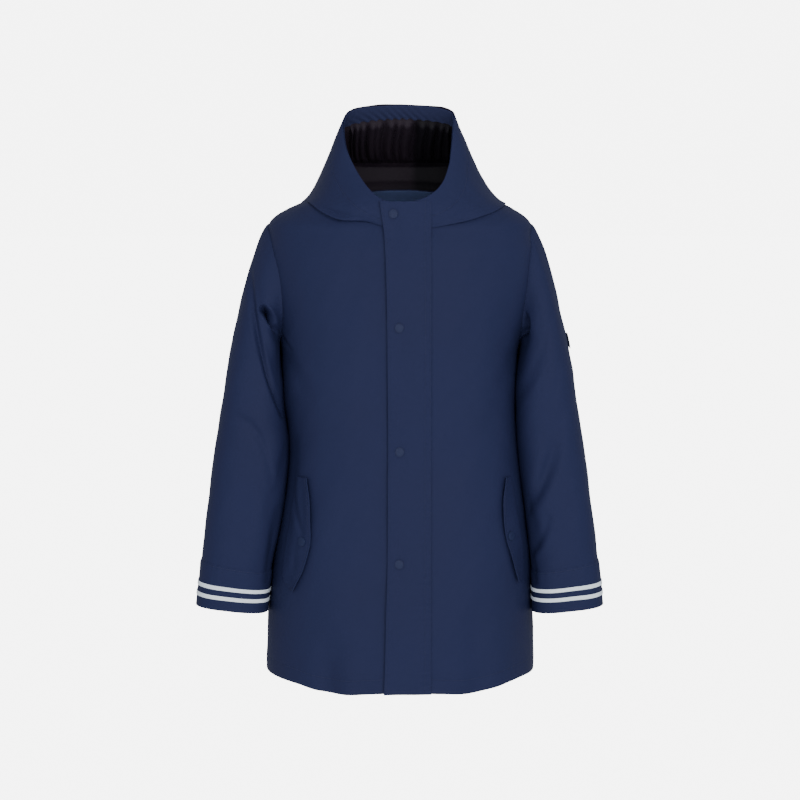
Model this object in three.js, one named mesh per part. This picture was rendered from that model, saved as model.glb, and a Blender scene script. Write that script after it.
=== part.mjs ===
// A child's hooded raincoat for about 9 to 10 years, filled out as worn, with no wearer inside.
// Millimetres, +Z up. The front faces -Y, and +X is the wearer's left. The origin is the middle of
// the neck, at the height where the shoulders meet it. Every piece of cloth is a thin wall that is
// worked out from the tables below, and pieces that meet at a seam keep a small gap.
import * as THREE from 'three';

// Driving dimensions
const CLOTH = 1.5; // wall of the coated shell cloth
const LINER = 1.1; // wall of the thin inner cloth
const TAPE = 0.8; // wall of the reflective tape
const SEAM = 0.3; // gap between two pieces at a seam, or between a piece and what it lies on
const LOOSE = 1; // gap under a piece that hangs free of what it covers
const HEM_HEIGHT = -667; // lower end of the placket
const ARMHOLE_TOP = -24; // height of the shoulder point
const ARMHOLE_FOOT = -196; // height of the underarm point
const ARMHOLE_ROUNDNESS = 0.7; // 1 makes each half an ellipse's, 0 a plain arch
const ARMHOLE_BITE = { // degrees of the ring that each half of an armhole cuts away
  front: { '-1': 31, 1: 27 },
  back: { '-1': 26, 1: 26 },
};
const NECK_INSET = 8; // how far the panels run up inside the hood's foot
const FOOT_GAP = 1.5; // between the hood's foot and the shoulders it stands on
const PLACKET_WIDTH = 60;
const PLACKET_TOP = 8;
const FACING_WIDTH = 32; // turned-back band inside the hood's edge
const HOOD_SEAM = { edge: 126, foot: 156 }; // turn of the seams between the hood's three panels
const CUFF_HEIGHT = 62; // band at the sleeve's end
const STRIPE_WIDTH = 5.6;
const STRIPES_FROM_END = [16, 30]; // middles of the two tapes, from the sleeve's end
const SNAP_RADIUS = 6.2;
const SNAP_INSET = 16.3; // from the placket's free edge
const SNAP_HEIGHTS = [-9, -163, -331, -485];
const BADGE = { z: -187, height: 20, width: 26, thick: 1.4 }; // plain patch on the left upper sleeve

// Mesh steps
const ROWS = { skirt: 11, armhole: 13, shoulder: 3 };
const COLUMNS = { placket: 2, front: 8, back: 16 };
const SLEEVE_ROWS = { cap: 9, tube: 9 };
const HOOD_COLUMNS = { side: 10, centre: 5 };
const HOOD_ROWS = 9;
const FACING_ROWS = 2;
const COLLAR_ROWS = 4;
const FLAP_STEPS = { high: 9, wide: 3 };
const BADGE_STEPS = { high: 3, wide: 4 };

// Rows of values under named columns
function table(columns, rows) {
  return rows.map((row) => Object.fromEntries(columns.map((name, i) => [name, row[i]])));
}

// The hem's height round the ring, by degrees from the centre front, from the centre back by the
// right side, the front and the left side. It waves a little.
const HEM = table(['turn', 'z'], [
  [-180, -668],
  [-150, -669],
  [-118, -664],
  [-90, -655],
  [-62, -656],
  [-45, -659.5],
  [-33, -666],
  [-20, -669],
  [0, -665.5],
  [14, -667],
  [28, -669],
  [39, -664],
  [50, -658.5],
  [64, -655],
  [90, -655],
  [120, -663],
  [152, -669],
  [180, -668],
]);

// The trunk in level rings. half: half width; side: the side seams' Y; front, back: how far the
// centre front and back lie from it; shift: sideways lean; square: power of the rounded ring.
const TRUNK = table(['z', 'half', 'side', 'front', 'back', 'shift', 'square'], [
  [-676, 190, 10, 128, 106, 0, 2.3],
  [-630, 190, 14, 132, 102, 0, 2.3],
  [-557, 188.5, 28, 145, 86, 0.2, 2.3],
  [-498, 185, 34, 151, 76, 2.5, 2.3],
  [-414, 172.3, 36, 151, 70, 5.8, 2.3],
  [-330, 163.5, 36, 148, 68, 4.6, 2.3],
  [-267, 165.2, 34, 144, 72, 0, 2.2],
  [-235, 165.2, 31, 139.5, 77, 0, 2.2],
  [-196, 164, 20, 127, 90, 0.5, 2.3],
  [-160, 174, 14, 120, 97, 2, 2.3],
  [-115, 186, 10, 113, 101, 3, 2.3],
  [-60, 188, 8, 103, 96, 1.5, 2.3],
  [-36, 184, 6, 94, 91, 0, 2.3],
  [-24, 183, 6, 90, 86, 0, 2.3],
  [-14, 174, 6, 84, 82, 0, 2.25],
  [-2, 154.5, 6, 78, 77, 0, 2.2],
  [9, 132, 6, 71, 72, 0, 2.15],
  [23, 104, 6, 60, 64, 0, 2.1],
]);

// The placket's free edge, which bows a little.
const PLACKET_EDGE = table(['z', 'x'], [
  [-675, -21.8],
  [-590, -19.4],
  [-500, -17.2],
  [-380, -16.2],
  [-130, -17.4],
  [-60, -20.4],
  [-30, -23.8],
  [8, -29.3],
]);
const FRONT_SPLIT = 0.45; // where the two fronts meet under it, as a share of its width

// Rings of the sleeves under the shoulder. x: distance of the ring's middle from the centre plane;
// y: its depth; across, deep: half sizes; tilt: degrees that the outer side stands above the inner.
const SLEEVE_COLUMNS = ['z', 'x', 'y', 'across', 'deep', 'tilt'];
const SLEEVE = {
  right: table(SLEEVE_COLUMNS, [
    [-561, 236.8, -26, 49.4, 42, 6],
    [-498, 229.2, -26, 49.8, 46, 9],
    [-414, 215.9, -24, 53.1, 50, 9],
    [-330, 205.7, -18, 51.5, 54, 8],
    [-267, 204.1, -15, 42.8, 58, 9],
    [-240, 202.8, -11, 41, 60, 9],
  ]),
  left: table(SLEEVE_COLUMNS, [
    [-561, 236, -26, 48.4, 42, 6],
    [-498, 231.2, -25, 46.8, 48, 9],
    [-414, 220.7, -22, 46.8, 53, 9],
    [-330, 209.7, -16, 46.3, 56, 8],
    [-267, 203.8, -15, 42.3, 58, 9],
    [-240, 202.2, -11, 40.2, 60, 9],
  ]),
};
const TUBE_END = SLEEVE.right[0].z;
const TUBE_TOP = SLEEVE.right[SLEEVE.right.length - 1].z;

// How the sleeve's cap leaves the armhole, outwards, in depth and in height, and how strongly it
// bends into the tube.
const CAP = {
  top: { out: 70, depth: 0, rise: -26, into: 70 },
  side: { out: 46, depth: 16, rise: -30, into: 90 },
  foot: { out: 6, depth: 0, rise: 0, into: 34 },
};

// The hood by turn, from the centre front (0) round to the centre back (180). right and left are
// the X of its front edge on each side, edgeY and edgeZ its place. first and last are the two
// middle points of the curve that runs from that edge down to the foot on the shoulders.
const HOOD = table(
  ['turn', 'right', 'left', 'edgeY', 'edgeZ', 'firstX', 'firstY', 'firstZ', 'lastX', 'lastY', 'lastZ'],
  [
    [0, 0, 0, -86, 8, 0, -88, -4, 0, -90, -18],
    [15, 17, 20, -84, 9, 25, -87, -3, 40, -89, -15],
    [30, 33, 40, -78, 16, 46, -84, 3, 67, -86, -8],
    [45, 48, 57, -66, 32, 65, -73, 16, 90, -76, 0],
    [60, 63, 67, -51, 56, 82, -56, 36, 106, -55, 8],
    [75, 72, 71, -39, 80, 92, -38, 58, 111, -27, 15],
    [90, 76, 74, -30, 104, 97, -18, 76, 113, 2, 22],
    [105, 77, 76, -24, 119, 94, 2, 90, 114, 36, 26],
    [120, 73, 74, -19, 130, 86, 18, 98, 112, 78, 26],
    [135, 61, 61, -16, 136, 72, 27, 101, 100, 122, 24],
    [150, 43, 43, -14, 139, 51, 29, 101, 77, 154, 22],
    [165, 22, 22, -13, 140.5, 26, 29, 100, 42, 173, 20],
    [180, 0, 0, -12, 141, 0, 28, 100, 0, 180, 20],
  ],
);
const HOOD_CROWDING = 1.45; // its back rows lie closer towards the foot, where it turns under

// The hood's lining hangs inside the shell. It is gathered above a seam across the back.
const LINING = {
  spare: { front: 14, back: 22 }, // it ends that far above the hood's foot
  sag: 3, // slack between the lining and the shell at the back
  gathers: 8, // waves on each half of the back
  depth: 3.2, // of a gather
  seam: 62, // height of the seam under the gathers
};

// The pocket flaps on the front panels: X of the free edge and of the sewn edge.
const FLAP = {
  right: table(['z', 'free', 'sewn'], [
    [-529, -146, -150.5],
    [-516, -139, -160.5],
    [-497, -130, -161.5],
    [-463, -121.5, -158],
    [-441, -120, -154.5],
    [-400, -121, -147],
    [-371, -125, -140.5],
  ]),
  left: table(['z', 'free', 'sewn'], [
    [-517, 161.5, 168],
    [-500, 156, 171],
    [-484, 151.5, 170.5],
    [-456, 144.5, 167],
    [-428, 140.5, 162],
    [-400, 139, 157],
    [-371, 143, 151.5],
  ]),
};
const FLAP_LIFT = { right: 4.5, left: 2.2 }; // how far each free edge stands off the panel
const FLAP_SNAP = { row: 4, column: 1 }; // the snap's place among the flap's mesh steps

// The largest folds, as troughs along curves seen from the front or back: the curve's start,
// middle handle and end, the depth at those three, and the trough's half width.
const FOLDS = table(
  ['on', 'face', 'x0', 'z0', 'x1', 'z1', 'x2', 'z2', 'depth0', 'depth1', 'depth2', 'width'],
  [
    ['right', 'front', -205, -84, -193, -190, -157, -284, 1, 5, 2, 12],
    ['right', 'front', -190, -136, -178, -162, -157, -196, 2, 6, 2, 9],
    ['right', 'front', -236, -288, -198, -296, -181, -345, 0, 3.5, 0, 12],
    ['right', 'front', -172, -372, -184, -410, -176, -470, 0, 4, 0, 14],
    ['right', 'back', -190, -150, -186, -235, -218, -330, 1, 7, 0, 14],
    ['right', 'back', -172, -300, -208, -330, -240, -322, 0, 5, 0, 13],
    ['left', 'front', 168, -146, 181, -170, 158, -206, 2, 8, 2, 9],
    ['left', 'front', 196, -186, 182, -232, 160, -268, 0, 4, 1, 11],
    ['left', 'front', 212, -318, 205, -372, 174, -412, 0, 7, 1, 14],
    ['left', 'front', 204, -418, 188, -440, 182, -478, 0, 4, 0, 12],
    ['left', 'back', 188, -150, 190, -240, 222, -315, 1, 7, 0, 14],
    ['left', 'back', 176, -318, 210, -345, 242, -338, 0, 5, 0, 13],
    ['trunk', 'front', -146, -318, -149, -405, -160, -500, 1, 4, 0, 9],
    ['trunk', 'front', -158, -206, -136, -236, -128, -262, 4, 3, 0, 14],
    ['trunk', 'front', 158, -206, 140, -240, 134, -280, 4, 3, 0, 14],
    ['trunk', 'front', -96, -560, -104, -610, -98, -670, 0, 3, 5, 24],
    ['trunk', 'front', 104, -540, 112, -600, 106, -670, 0, 3, 5, 24],
    ['trunk', 'back', -150, -190, -112, -230, -92, -300, 5, 4, 0, 18],
    ['trunk', 'back', 150, -190, 112, -236, 96, -320, 5, 4, 0, 18],
    ['trunk', 'back', -62, -380, -70, -520, -64, -672, 0, 5, 7, 30],
    ['trunk', 'back', 58, -360, 66, -520, 60, -672, 0, 5, 7, 30],
  ],
);

const COLOURS = { shell: 0x27334f, liner: 0x141316, tape: 0xcdd9e6, snap: 0x2b3a5c, badge: 0x161c33 };
const SIDES = { right: -1, left: 1 };

// Small helpers
const { degToRad, radToDeg, lerp, clamp, smoothstep } = THREE.MathUtils;
const vec = (x, y, z) => new THREE.Vector3(x, y, z);
const moved = (point, direction, distance) => point.clone().addScaledVector(direction, distance);
const power = (value, exponent) => Math.sign(value) * Math.abs(value) ** exponent;
const steps = (count) => Array.from({ length: count + 1 }, (_, i) => i / count);

function hermite(from, leave, to, enter, t) {
  const u = 1 - t;
  return from * u * u * (1 + 2 * t) + leave * t * u * u + to * t * t * (3 - 2 * t) - enter * t * t * u;
}

// A smooth value of one column of a table, whose key column rises.
function lookUp(rows, key, column, value) {
  const last = rows.length - 1;
  if (value <= rows[0][key]) return rows[0][column];
  if (value >= rows[last][key]) return rows[last][column];
  let i = 0;
  while (rows[i + 1][key] < value) i += 1;
  const slope = (j) => {
    const before = rows[Math.max(j - 1, 0)];
    const after = rows[Math.min(j + 1, last)];
    return (after[column] - before[column]) / (after[key] - before[key]);
  };
  const span = rows[i + 1][key] - rows[i][key];
  const t = (value - rows[i][key]) / span;
  return hermite(rows[i][column], slope(i) * span, rows[i + 1][column], slope(i + 1) * span, t);
}

// The unit normal of a surface given by two parameters.
function normalOf(surface, u, v, stepU, stepV) {
  const alongU = surface(u + stepU, v).sub(surface(u - stepU, v));
  const alongV = surface(u, v + stepV).sub(surface(u, v - stepV));
  return alongU.cross(alongV).normalize();
}

// Folds
const CURVE_PIECES = 12;
const FACING = { hidden: 0.05, seen: 0.45 }; // how much a face must look forwards or back to fold

const bezier = (a, b, c, t) => a * (1 - t) ** 2 + 2 * b * t * (1 - t) + c * t * t;

function nearestOnFold(fold, x, z) {
  const curveX = (t) => bezier(fold.x0, fold.x1, fold.x2, t);
  const curveZ = (t) => bezier(fold.z0, fold.z1, fold.z2, t);
  let best = { distance: Infinity, t: 0 };
  for (let i = 0; i < CURVE_PIECES; i += 1) {
    const [ax, az] = [curveX(i / CURVE_PIECES), curveZ(i / CURVE_PIECES)];
    const [bx, bz] = [curveX((i + 1) / CURVE_PIECES), curveZ((i + 1) / CURVE_PIECES)];
    const along = ((x - ax) * (bx - ax) + (z - az) * (bz - az)) / ((bx - ax) ** 2 + (bz - az) ** 2);
    const share = clamp(along, 0, 1);
    const distance = Math.hypot(x - lerp(ax, bx, share), z - lerp(az, bz, share));
    if (distance < best.distance) best = { distance, t: (i + share) / CURVE_PIECES };
  }
  return best;
}

// How far a point of the cloth is pushed in along its normal.
function foldDepth(piece, point, normal) {
  let total = 0;
  for (const fold of FOLDS) {
    const towards = fold.face === 'front' ? -normal.y : normal.y;
    const facing = smoothstep(towards, FACING.hidden, FACING.seen);
    if (fold.on !== piece || facing === 0) continue;
    const { distance, t } = nearestOnFold(fold, point.x, point.z);
    const share = (distance / fold.width) ** 2;
    const depth = bezier(fold.depth0, fold.depth1, fold.depth2, t);
    total += facing * depth * (1 - share) * Math.exp(-share);
  }
  return total;
}

// The trunk's ring: degrees from the centre front, positive towards the wearer's left.
const RING_STEP = 0.4; // degrees and millimetres used to measure a slope

function trunkRing(degrees, z) {
  const row = (column) => lookUp(TRUNK, 'z', column, z);
  const exponent = 2 / row('square');
  const sine = power(Math.sin(degToRad(degrees)), exponent);
  const cosine = power(Math.cos(degToRad(degrees)), exponent);
  const depth = cosine > 0 ? row('front') : row('back');
  return vec(row('shift') + row('half') * sine, row('side') - depth * cosine, z);
}

function trunk(degrees, z) {
  const point = trunkRing(degrees, z);
  const normal = normalOf(trunkRing, degrees, z, RING_STEP, RING_STEP);
  return moved(point, normal, -foldDepth('trunk', point, normal));
}

const trunkNormal = (degrees, z) => normalOf(trunk, degrees, z, RING_STEP, RING_STEP);

// A spot is a point of the cloth with the normal there.
const trunkSpot = ({ degrees, z }) => ({ point: trunk(degrees, z), normal: trunkNormal(degrees, z) });

// Degrees on the trunk's ring at a given X of its front half.
function degreesAt(x, z) {
  const share = (x - lookUp(TRUNK, 'z', 'shift', z)) / lookUp(TRUNK, 'z', 'half', z);
  return radToDeg(Math.asin(power(share, lookUp(TRUNK, 'z', 'square', z) / 2)));
}

// Heights of the hem, the hood's foot and the panels' upper edge, round the ring
const FOOT = { front: -33, side: 2, back: 14, power: 1.2 };

const hemHeight = (degrees) => lookUp(HEM, 'turn', 'z', degrees);

function hoodFoot(degrees) {
  const sine = Math.abs(Math.sin(degToRad(degrees)));
  if (Math.abs(degrees) < 90) return lerp(FOOT.front, FOOT.side, sine ** FOOT.power);
  return lerp(FOOT.back, FOOT.side, sine ** 2);
}

const neckEdge = (degrees) => hoodFoot(degrees) + NECK_INSET;

// The armhole's edge: j from 0 at the shoulder point to 1 at the underarm, on one half of a side.
function armholeEdge(side, half, j) {
  const down = lerp(j, (1 - Math.cos(Math.PI * j)) / 2, ARMHOLE_ROUNDNESS);
  const bite = ARMHOLE_BITE[half][side] * Math.sin(Math.PI * j);
  const degrees = side * (half === 'front' ? 90 - bite : 90 + bite);
  return { z: lerp(ARMHOLE_TOP, ARMHOLE_FOOT, down), degrees };
}

// Panels of the trunk. A row gives the ring's place at a share u from the panel's centre line to
// the side seam or armhole.
const BITE_SPREAD = 1.6; // above 1, the columns near the armhole take up more of its cut
const NECK_DIP = { front: 30, back: 0, power: 1.5 }; // the rows sink towards the low front of the neck

function panelRows(side, half, centre) {
  const seam = side * 90;
  const along = (z, u) => lerp(centre(z), seam, u);
  const sunk = (z, u) => {
    const height = (z - ARMHOLE_FOOT) / (ARMHOLE_TOP - ARMHOLE_FOOT);
    return z - NECK_DIP[half] * ((1 - u) * height) ** NECK_DIP.power;
  };
  const skirt = steps(ROWS.skirt).slice(0, -1).map((t) => (u) => {
    const z = lerp(hemHeight(along(ARMHOLE_FOOT, u)), ARMHOLE_FOOT, t);
    return { degrees: along(z, u), z };
  });
  const armhole = steps(ROWS.armhole).map((j) => (u) => {
    const edge = armholeEdge(side, half, 1 - j);
    const z = sunk(edge.z, u);
    return { degrees: along(z, u) + (edge.degrees - seam) * u ** BITE_SPREAD, z };
  });
  const shoulder = steps(ROWS.shoulder).slice(1).map((t) => (u) => {
    const low = sunk(ARMHOLE_TOP, u);
    const z = lerp(low, neckEdge(along(low, u)), t);
    return { degrees: along(z, u), z };
  });
  return [...skirt, ...armhole, ...shoulder];
}

const placketX = (z, share) => lookUp(PLACKET_EDGE, 'z', 'x', z) + PLACKET_WIDTH * share;

// The columns of a front run from the line where the fronts meet, along the placket's own edge.
function frontGrid(side) {
  const placketEdge = side > 0 ? 1 : 0;
  const centre = (z) => degreesAt(placketX(z, FRONT_SPLIT), z);
  const rows = panelRows(side, 'front', (z) => degreesAt(placketX(z, placketEdge), z));
  const inner = steps(COLUMNS.placket).slice(0, -1);
  return rows.map((row) => {
    const { degrees, z } = row(0);
    const covered = inner.map((u) => ({ degrees: lerp(centre(z), degrees, u), z }));
    return [...covered, ...steps(COLUMNS.front).map(row)].map(trunkSpot);
  });
}

function backGrid() {
  const [right, left] = [-1, 1].map((side) => panelRows(side, 'back', () => side * 180));
  const shares = steps(COLUMNS.back / 2);
  const outwards = shares.slice(1);
  const inwards = shares.slice().reverse();
  return right.map((row, i) => [...inwards.map(row), ...outwards.map(left[i])].map(trunkSpot));
}

// Grids of points and the walls between them
const layer = (grid, distance) =>
  grid.map((row) => row.map(({ point, normal }) => moved(point, normal, distance)));

const towards = (point, neighbour, distance) =>
  moved(point, neighbour.clone().sub(point).normalize(), distance);

// Draws in the first and last column of a grid, which leaves the gap at a seam.
function trimmed(grid) {
  return grid.map((row) => {
    const end = row.length - 1;
    const first = towards(row[0], row[1], SEAM / 2);
    const last = towards(row[end], row[end - 1], SEAM / 2);
    return [first, ...row.slice(1, end), last];
  });
}

// A closed wall between two grids of points, open or closed round its columns.
function wall(outer, inner, round = false) {
  const rows = outer.length;
  const columns = outer[0].length;
  const points = [...outer.flat(), ...inner.flat()];
  const at = (face, i, j) => face * rows * columns + i * columns + (j % columns);
  const faces = [];
  const quad = (a, b, c, d) => faces.push([a, b, c], [a, c, d]);
  for (let j = 0; j < (round ? columns : columns - 1); j += 1) {
    for (let i = 0; i < rows - 1; i += 1) {
      quad(at(0, i, j), at(0, i, j + 1), at(0, i + 1, j + 1), at(0, i + 1, j));
      quad(at(1, i, j), at(1, i + 1, j), at(1, i + 1, j + 1), at(1, i, j + 1));
    }
    quad(at(0, 0, j), at(1, 0, j), at(1, 0, j + 1), at(0, 0, j + 1));
    quad(at(0, rows - 1, j), at(0, rows - 1, j + 1), at(1, rows - 1, j + 1), at(1, rows - 1, j));
  }
  for (let i = 0; i < rows - 1 && !round; i += 1) {
    const end = columns - 1;
    quad(at(0, i, 0), at(0, i + 1, 0), at(1, i + 1, 0), at(1, i, 0));
    quad(at(0, i, end), at(1, i, end), at(1, i + 1, end), at(0, i + 1, end));
  }
  const signed = ([a, b, c]) => points[a].dot(points[b].clone().cross(points[c]));
  const facesOut = faces.reduce((sum, face) => sum + signed(face), 0) > 0;
  const geometry = new THREE.BufferGeometry().setFromPoints(points);
  geometry.setIndex((facesOut ? faces : faces.map(([a, b, c]) => [a, c, b])).flat());
  geometry.computeVertexNormals();
  return geometry;
}

const panelWall = (grid) => wall(trimmed(layer(grid, 0)), trimmed(layer(grid, -CLOTH)));

// The facing inside the back of the neck is made from the back panel's upper rows.
const FACING_MARGIN = 4; // columns left out at each side

function neckFacing(grid) {
  const rows = grid.slice(-ROWS.shoulder - 1);
  const middle = rows.map((row) => row.slice(FACING_MARGIN, row.length - FACING_MARGIN));
  return wall(layer(middle, -CLOTH - SEAM), layer(middle, -CLOTH - SEAM - LINER));
}

// Sleeves. round: degrees from the outer line (0) by the back (90) to the underarm (180).
// length: 0 to 1 down the cap, then 1 to 2 down the tube.
const SLEEVE_STEP = { round: 1, length: 0.004 };
const ROUNDS = steps(2 * ROWS.armhole).slice(0, -1).map((share) => 360 * share);
const fromEnd = (distance) => 2 - distance / (TUBE_TOP - TUBE_END);

function sleeveRing(name, round, z) {
  const row = (column) => lookUp(SLEEVE[name], 'z', column, z);
  const out = row('across') * Math.cos(degToRad(round));
  const tilt = degToRad(row('tilt'));
  const x = SIDES[name] * (row('x') + out * Math.cos(tilt));
  return vec(x, row('y') + row('deep') * Math.sin(degToRad(round)), z + out * Math.sin(tilt));
}

// The armhole's place that belongs to a degree round the sleeve, grown by a share about its middle.
function armholeSpot(name, round, growth = 1) {
  const turn = round % 360;
  const [half, j] = turn <= 180 ? ['back', turn / 180] : ['front', 2 - turn / 180];
  const { z, degrees } = armholeEdge(SIDES[name], half, j);
  const middle = (ARMHOLE_TOP + ARMHOLE_FOOT) / 2;
  return { degrees: lerp(SIDES[name] * 90, degrees, growth), z: lerp(middle, z, growth) };
}

// The cap is a family of curves from the armhole to the tube's first ring.
function capPoint(name, round, t) {
  const { degrees, z } = armholeSpot(name, round);
  const from = trunk(degrees, z);
  const to = sleeveRing(name, round, TUBE_TOP);
  const downwards = sleeveRing(name, round, TUBE_TOP - 1).sub(to).normalize();
  const cosine = Math.cos(degToRad(round));
  const sine = Math.sin(degToRad(round));
  const weights = { top: Math.max(cosine, 0) ** 2, side: sine ** 2, foot: Math.max(-cosine, 0) ** 2 };
  const mix = (column) =>
    Object.entries(weights).reduce((total, [key, weight]) => total + weight * CAP[key][column], 0);
  const leave = vec(SIDES[name] * mix('out'), Math.sign(sine) * mix('depth'), mix('rise'));
  const enter = downwards.multiplyScalar(mix('into'));
  return vec(
    hermite(from.x, leave.x, to.x, enter.x, t),
    hermite(from.y, leave.y, to.y, enter.y, t),
    hermite(from.z, leave.z, to.z, enter.z, t),
  );
}

function sleeveForm(name, round, length) {
  if (length < 1) return capPoint(name, round, Math.max(length, 0));
  return sleeveRing(name, round, lerp(TUBE_TOP, TUBE_END, length - 1));
}

function sleeveNormal(name, surface, round, length) {
  const inside = Math.max(length, 2 * SLEEVE_STEP.length);
  const normal = normalOf(surface, round, inside, SLEEVE_STEP.round, SLEEVE_STEP.length);
  return normal.multiplyScalar(-SIDES[name]);
}

const FOLD_ONSET = 0.12; // no fold reaches into the seam: the share of the cap where they start

function sleeve(name, round, length) {
  const point = sleeveForm(name, round, length);
  const normal = sleeveNormal(name, (r, l) => sleeveForm(name, r, l), round, length);
  const onset = smoothstep(length, 0, FOLD_ONSET);
  return moved(point, normal, -onset * foldDepth(name, point, normal));
}

function sleeveSpot(name, round, length) {
  const normal = sleeveNormal(name, (r, l) => sleeve(name, r, l), round, length);
  return { point: sleeve(name, round, length), normal };
}

const sleeveGrid = (name, lengths) =>
  lengths.map((length) => ROUNDS.map((round) => sleeveSpot(name, round, length)));

const GROWTH = 1.04; // a slightly larger armhole, which gives the direction across the seam

// The first ring of a sleeve is the trunk's own edge, moved across the seam's gap.
function sleeveWall(name) {
  const capLengths = steps(SLEEVE_ROWS.cap).slice(1);
  const tubeLengths = steps(SLEEVE_ROWS.tube).slice(1).map((t) => lerp(1, fromEnd(CUFF_HEIGHT), t));
  const lengths = [...capLengths, ...tubeLengths, fromEnd(CUFF_HEIGHT / 2), 2];
  const grid = sleeveGrid(name, lengths);
  const edge = (depth) =>
    ROUNDS.map((round) => {
      const { point, normal } = trunkSpot(armholeSpot(name, round));
      const beyond = armholeSpot(name, round, GROWTH);
      const across = point.clone().sub(trunk(beyond.degrees, beyond.z)).normalize();
      return moved(moved(point, normal, -depth), across, SEAM);
    });
  return wall([edge(0), ...layer(grid, 0)], [edge(CLOTH), ...layer(grid, -CLOTH)], true);
}

// A band round the sleeve, with something of a given thickness under it.
function sleeveBand(name, distances, under, thick) {
  const grid = sleeveGrid(name, distances.map(fromEnd));
  return wall(layer(grid, under + thick), layer(grid, under), true);
}

function cuffWall(name) {
  const [low, high] = STRIPES_FROM_END;
  const half = STRIPE_WIDTH / 2;
  return sleeveBand(name, [CUFF_HEIGHT, high + half, high - half, low + half, low - half, 0], SEAM, CLOTH);
}

function stripeWall(name, middle) {
  const distances = [middle + STRIPE_WIDTH / 2, middle - STRIPE_WIDTH / 2];
  return sleeveBand(name, distances, SEAM + CLOTH + SEAM, TAPE);
}

// A plain patch on the outer side of the left sleeve. The cap's length at a height is found by
// halving, since the outer line falls all the way.
function badgeWall() {
  const lengthAt = (z) => {
    let [low, high] = [0, 1];
    while (high - low > SLEEVE_STEP.length) {
      const middle = (low + high) / 2;
      if (sleeveForm('left', 0, middle).z > z) low = middle;
      else high = middle;
    }
    return low;
  };
  const radius = SLEEVE.left[SLEEVE.left.length - 1].deep;
  const sweep = radToDeg(BADGE.width / 2 / radius);
  const grid = steps(BADGE_STEPS.high).map((t) => {
    const length = lengthAt(BADGE.z + BADGE.height * (0.5 - t));
    return steps(BADGE_STEPS.wide).map((u) => sleeveSpot('left', 360 + sweep * (2 * u - 1), length));
  });
  return wall(layer(grid, 2 * SEAM + BADGE.thick), layer(grid, 2 * SEAM));
}

// Hood. turn: degrees from the centre front; run: 0 at the front edge to 1 at the foot.
const HOOD_STEP = { turn: 1, run: 0.01 };

function hoodCurve(side, turn) {
  const row = (column) => lookUp(HOOD, 'turn', column, turn);
  const { point, normal } = trunkSpot({ degrees: side * turn, z: hoodFoot(turn) });
  return new THREE.CubicBezierCurve3(
    vec(side * row(side > 0 ? 'left' : 'right'), row('edgeY'), row('edgeZ')),
    vec(side * row('firstX'), row('firstY'), row('firstZ')),
    vec(side * row('lastX'), row('lastY'), row('lastZ')),
    moved(point, normal, FOOT_GAP),
  );
}

const hoodPoint = (side, turn, run) => hoodCurve(side, turn).getPointAt(run);

function hoodSpot(side, turn, run) {
  const insideTurn = clamp(turn, HOOD_STEP.turn, 180 - HOOD_STEP.turn);
  const insideRun = clamp(run, HOOD_STEP.run, 1 - HOOD_STEP.run);
  const form = (t, r) => hoodPoint(side, t, r);
  const normal = normalOf(form, insideTurn, insideRun, HOOD_STEP.turn, HOOD_STEP.run);
  normal.multiplyScalar(-side);
  if (turn === 180) normal.setX(0).normalize();
  return { point: hoodPoint(side, turn, run), normal };
}

// A column is a side and a share: across the side panel (0 to 1), then the centre one (1 to 2).
// The seam between the panels swings towards the centre back as it runs down.
function hoodTurn(share, run) {
  const seam = lerp(HOOD_SEAM.edge, HOOD_SEAM.foot, run);
  return share <= 1 ? seam * share : lerp(seam, 180, share - 1);
}

function hoodColumns(sideCount, centreCount) {
  const half = [...steps(sideCount), ...steps(centreCount).slice(1).map((t) => 1 + t)];
  const right = half.map((share) => ({ side: -1, share }));
  const left = half.slice(0, -1).reverse().map((share) => ({ side: 1, share }));
  return [...right, ...left];
}

// Rows across the facing's band, then down to the foot or to what is spared above it.
const FACING_LIMIT = 0.6; // of the curve's whole length

function hoodRun(side, turn, row, spare) {
  const length = hoodCurve(side, turn).getLength();
  const facing = Math.min(FACING_WIDTH / length, FACING_LIMIT);
  if (row <= FACING_ROWS) return (facing * row) / FACING_ROWS;
  const crowding = lerp(1, HOOD_CROWDING, smoothstep(turn, 40, 110));
  const down = 1 - (1 - (row - FACING_ROWS) / (HOOD_ROWS - FACING_ROWS)) ** crowding;
  return lerp(facing, 1 - spare / length, down);
}

function hoodGrid(columns, firstRow, lastRow, spare = () => 0) {
  const rows = steps(HOOD_ROWS).map((share) => Math.round(share * HOOD_ROWS));
  return rows.slice(firstRow, lastRow + 1).map((row) =>
    columns.map(({ side, share }) => {
      const turn = hoodTurn(share, row / HOOD_ROWS);
      const run = hoodRun(side, turn, row, spare(turn));
      return hoodSpot(side, hoodTurn(share, run), run);
    }),
  );
}

// The lowest row of the hood's wall lies flat over the shoulder, so its inner edge climbs the neck.
function hoodPanel(columns) {
  const grid = hoodGrid(columns, 0, HOOD_ROWS);
  const inner = layer(grid, -CLOTH);
  inner[HOOD_ROWS] = columns.map(({ side, share }) => {
    const degrees = side * hoodTurn(share, 1);
    const { point, normal } = trunkSpot({ degrees, z: hoodFoot(degrees) + CLOTH });
    return moved(point, normal, FOOT_GAP);
  });
  return wall(trimmed(layer(grid, 0)), trimmed(inner));
}

// Depth of the lining under the shell at a column's share and a height.
function liningDepth(share, z) {
  const sag = LINING.sag * smoothstep(share, 0.6, 1.1);
  const across = Math.max(share - 1, 0);
  const fade = smoothstep(z, LINING.seam - 14, LINING.seam + 8) * Math.sqrt(across);
  const wave = 0.5 - 0.5 * Math.cos(Math.PI * LINING.gathers * across);
  return sag + LINING.depth * fade * lerp(0.35, 1, wave);
}

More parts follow.
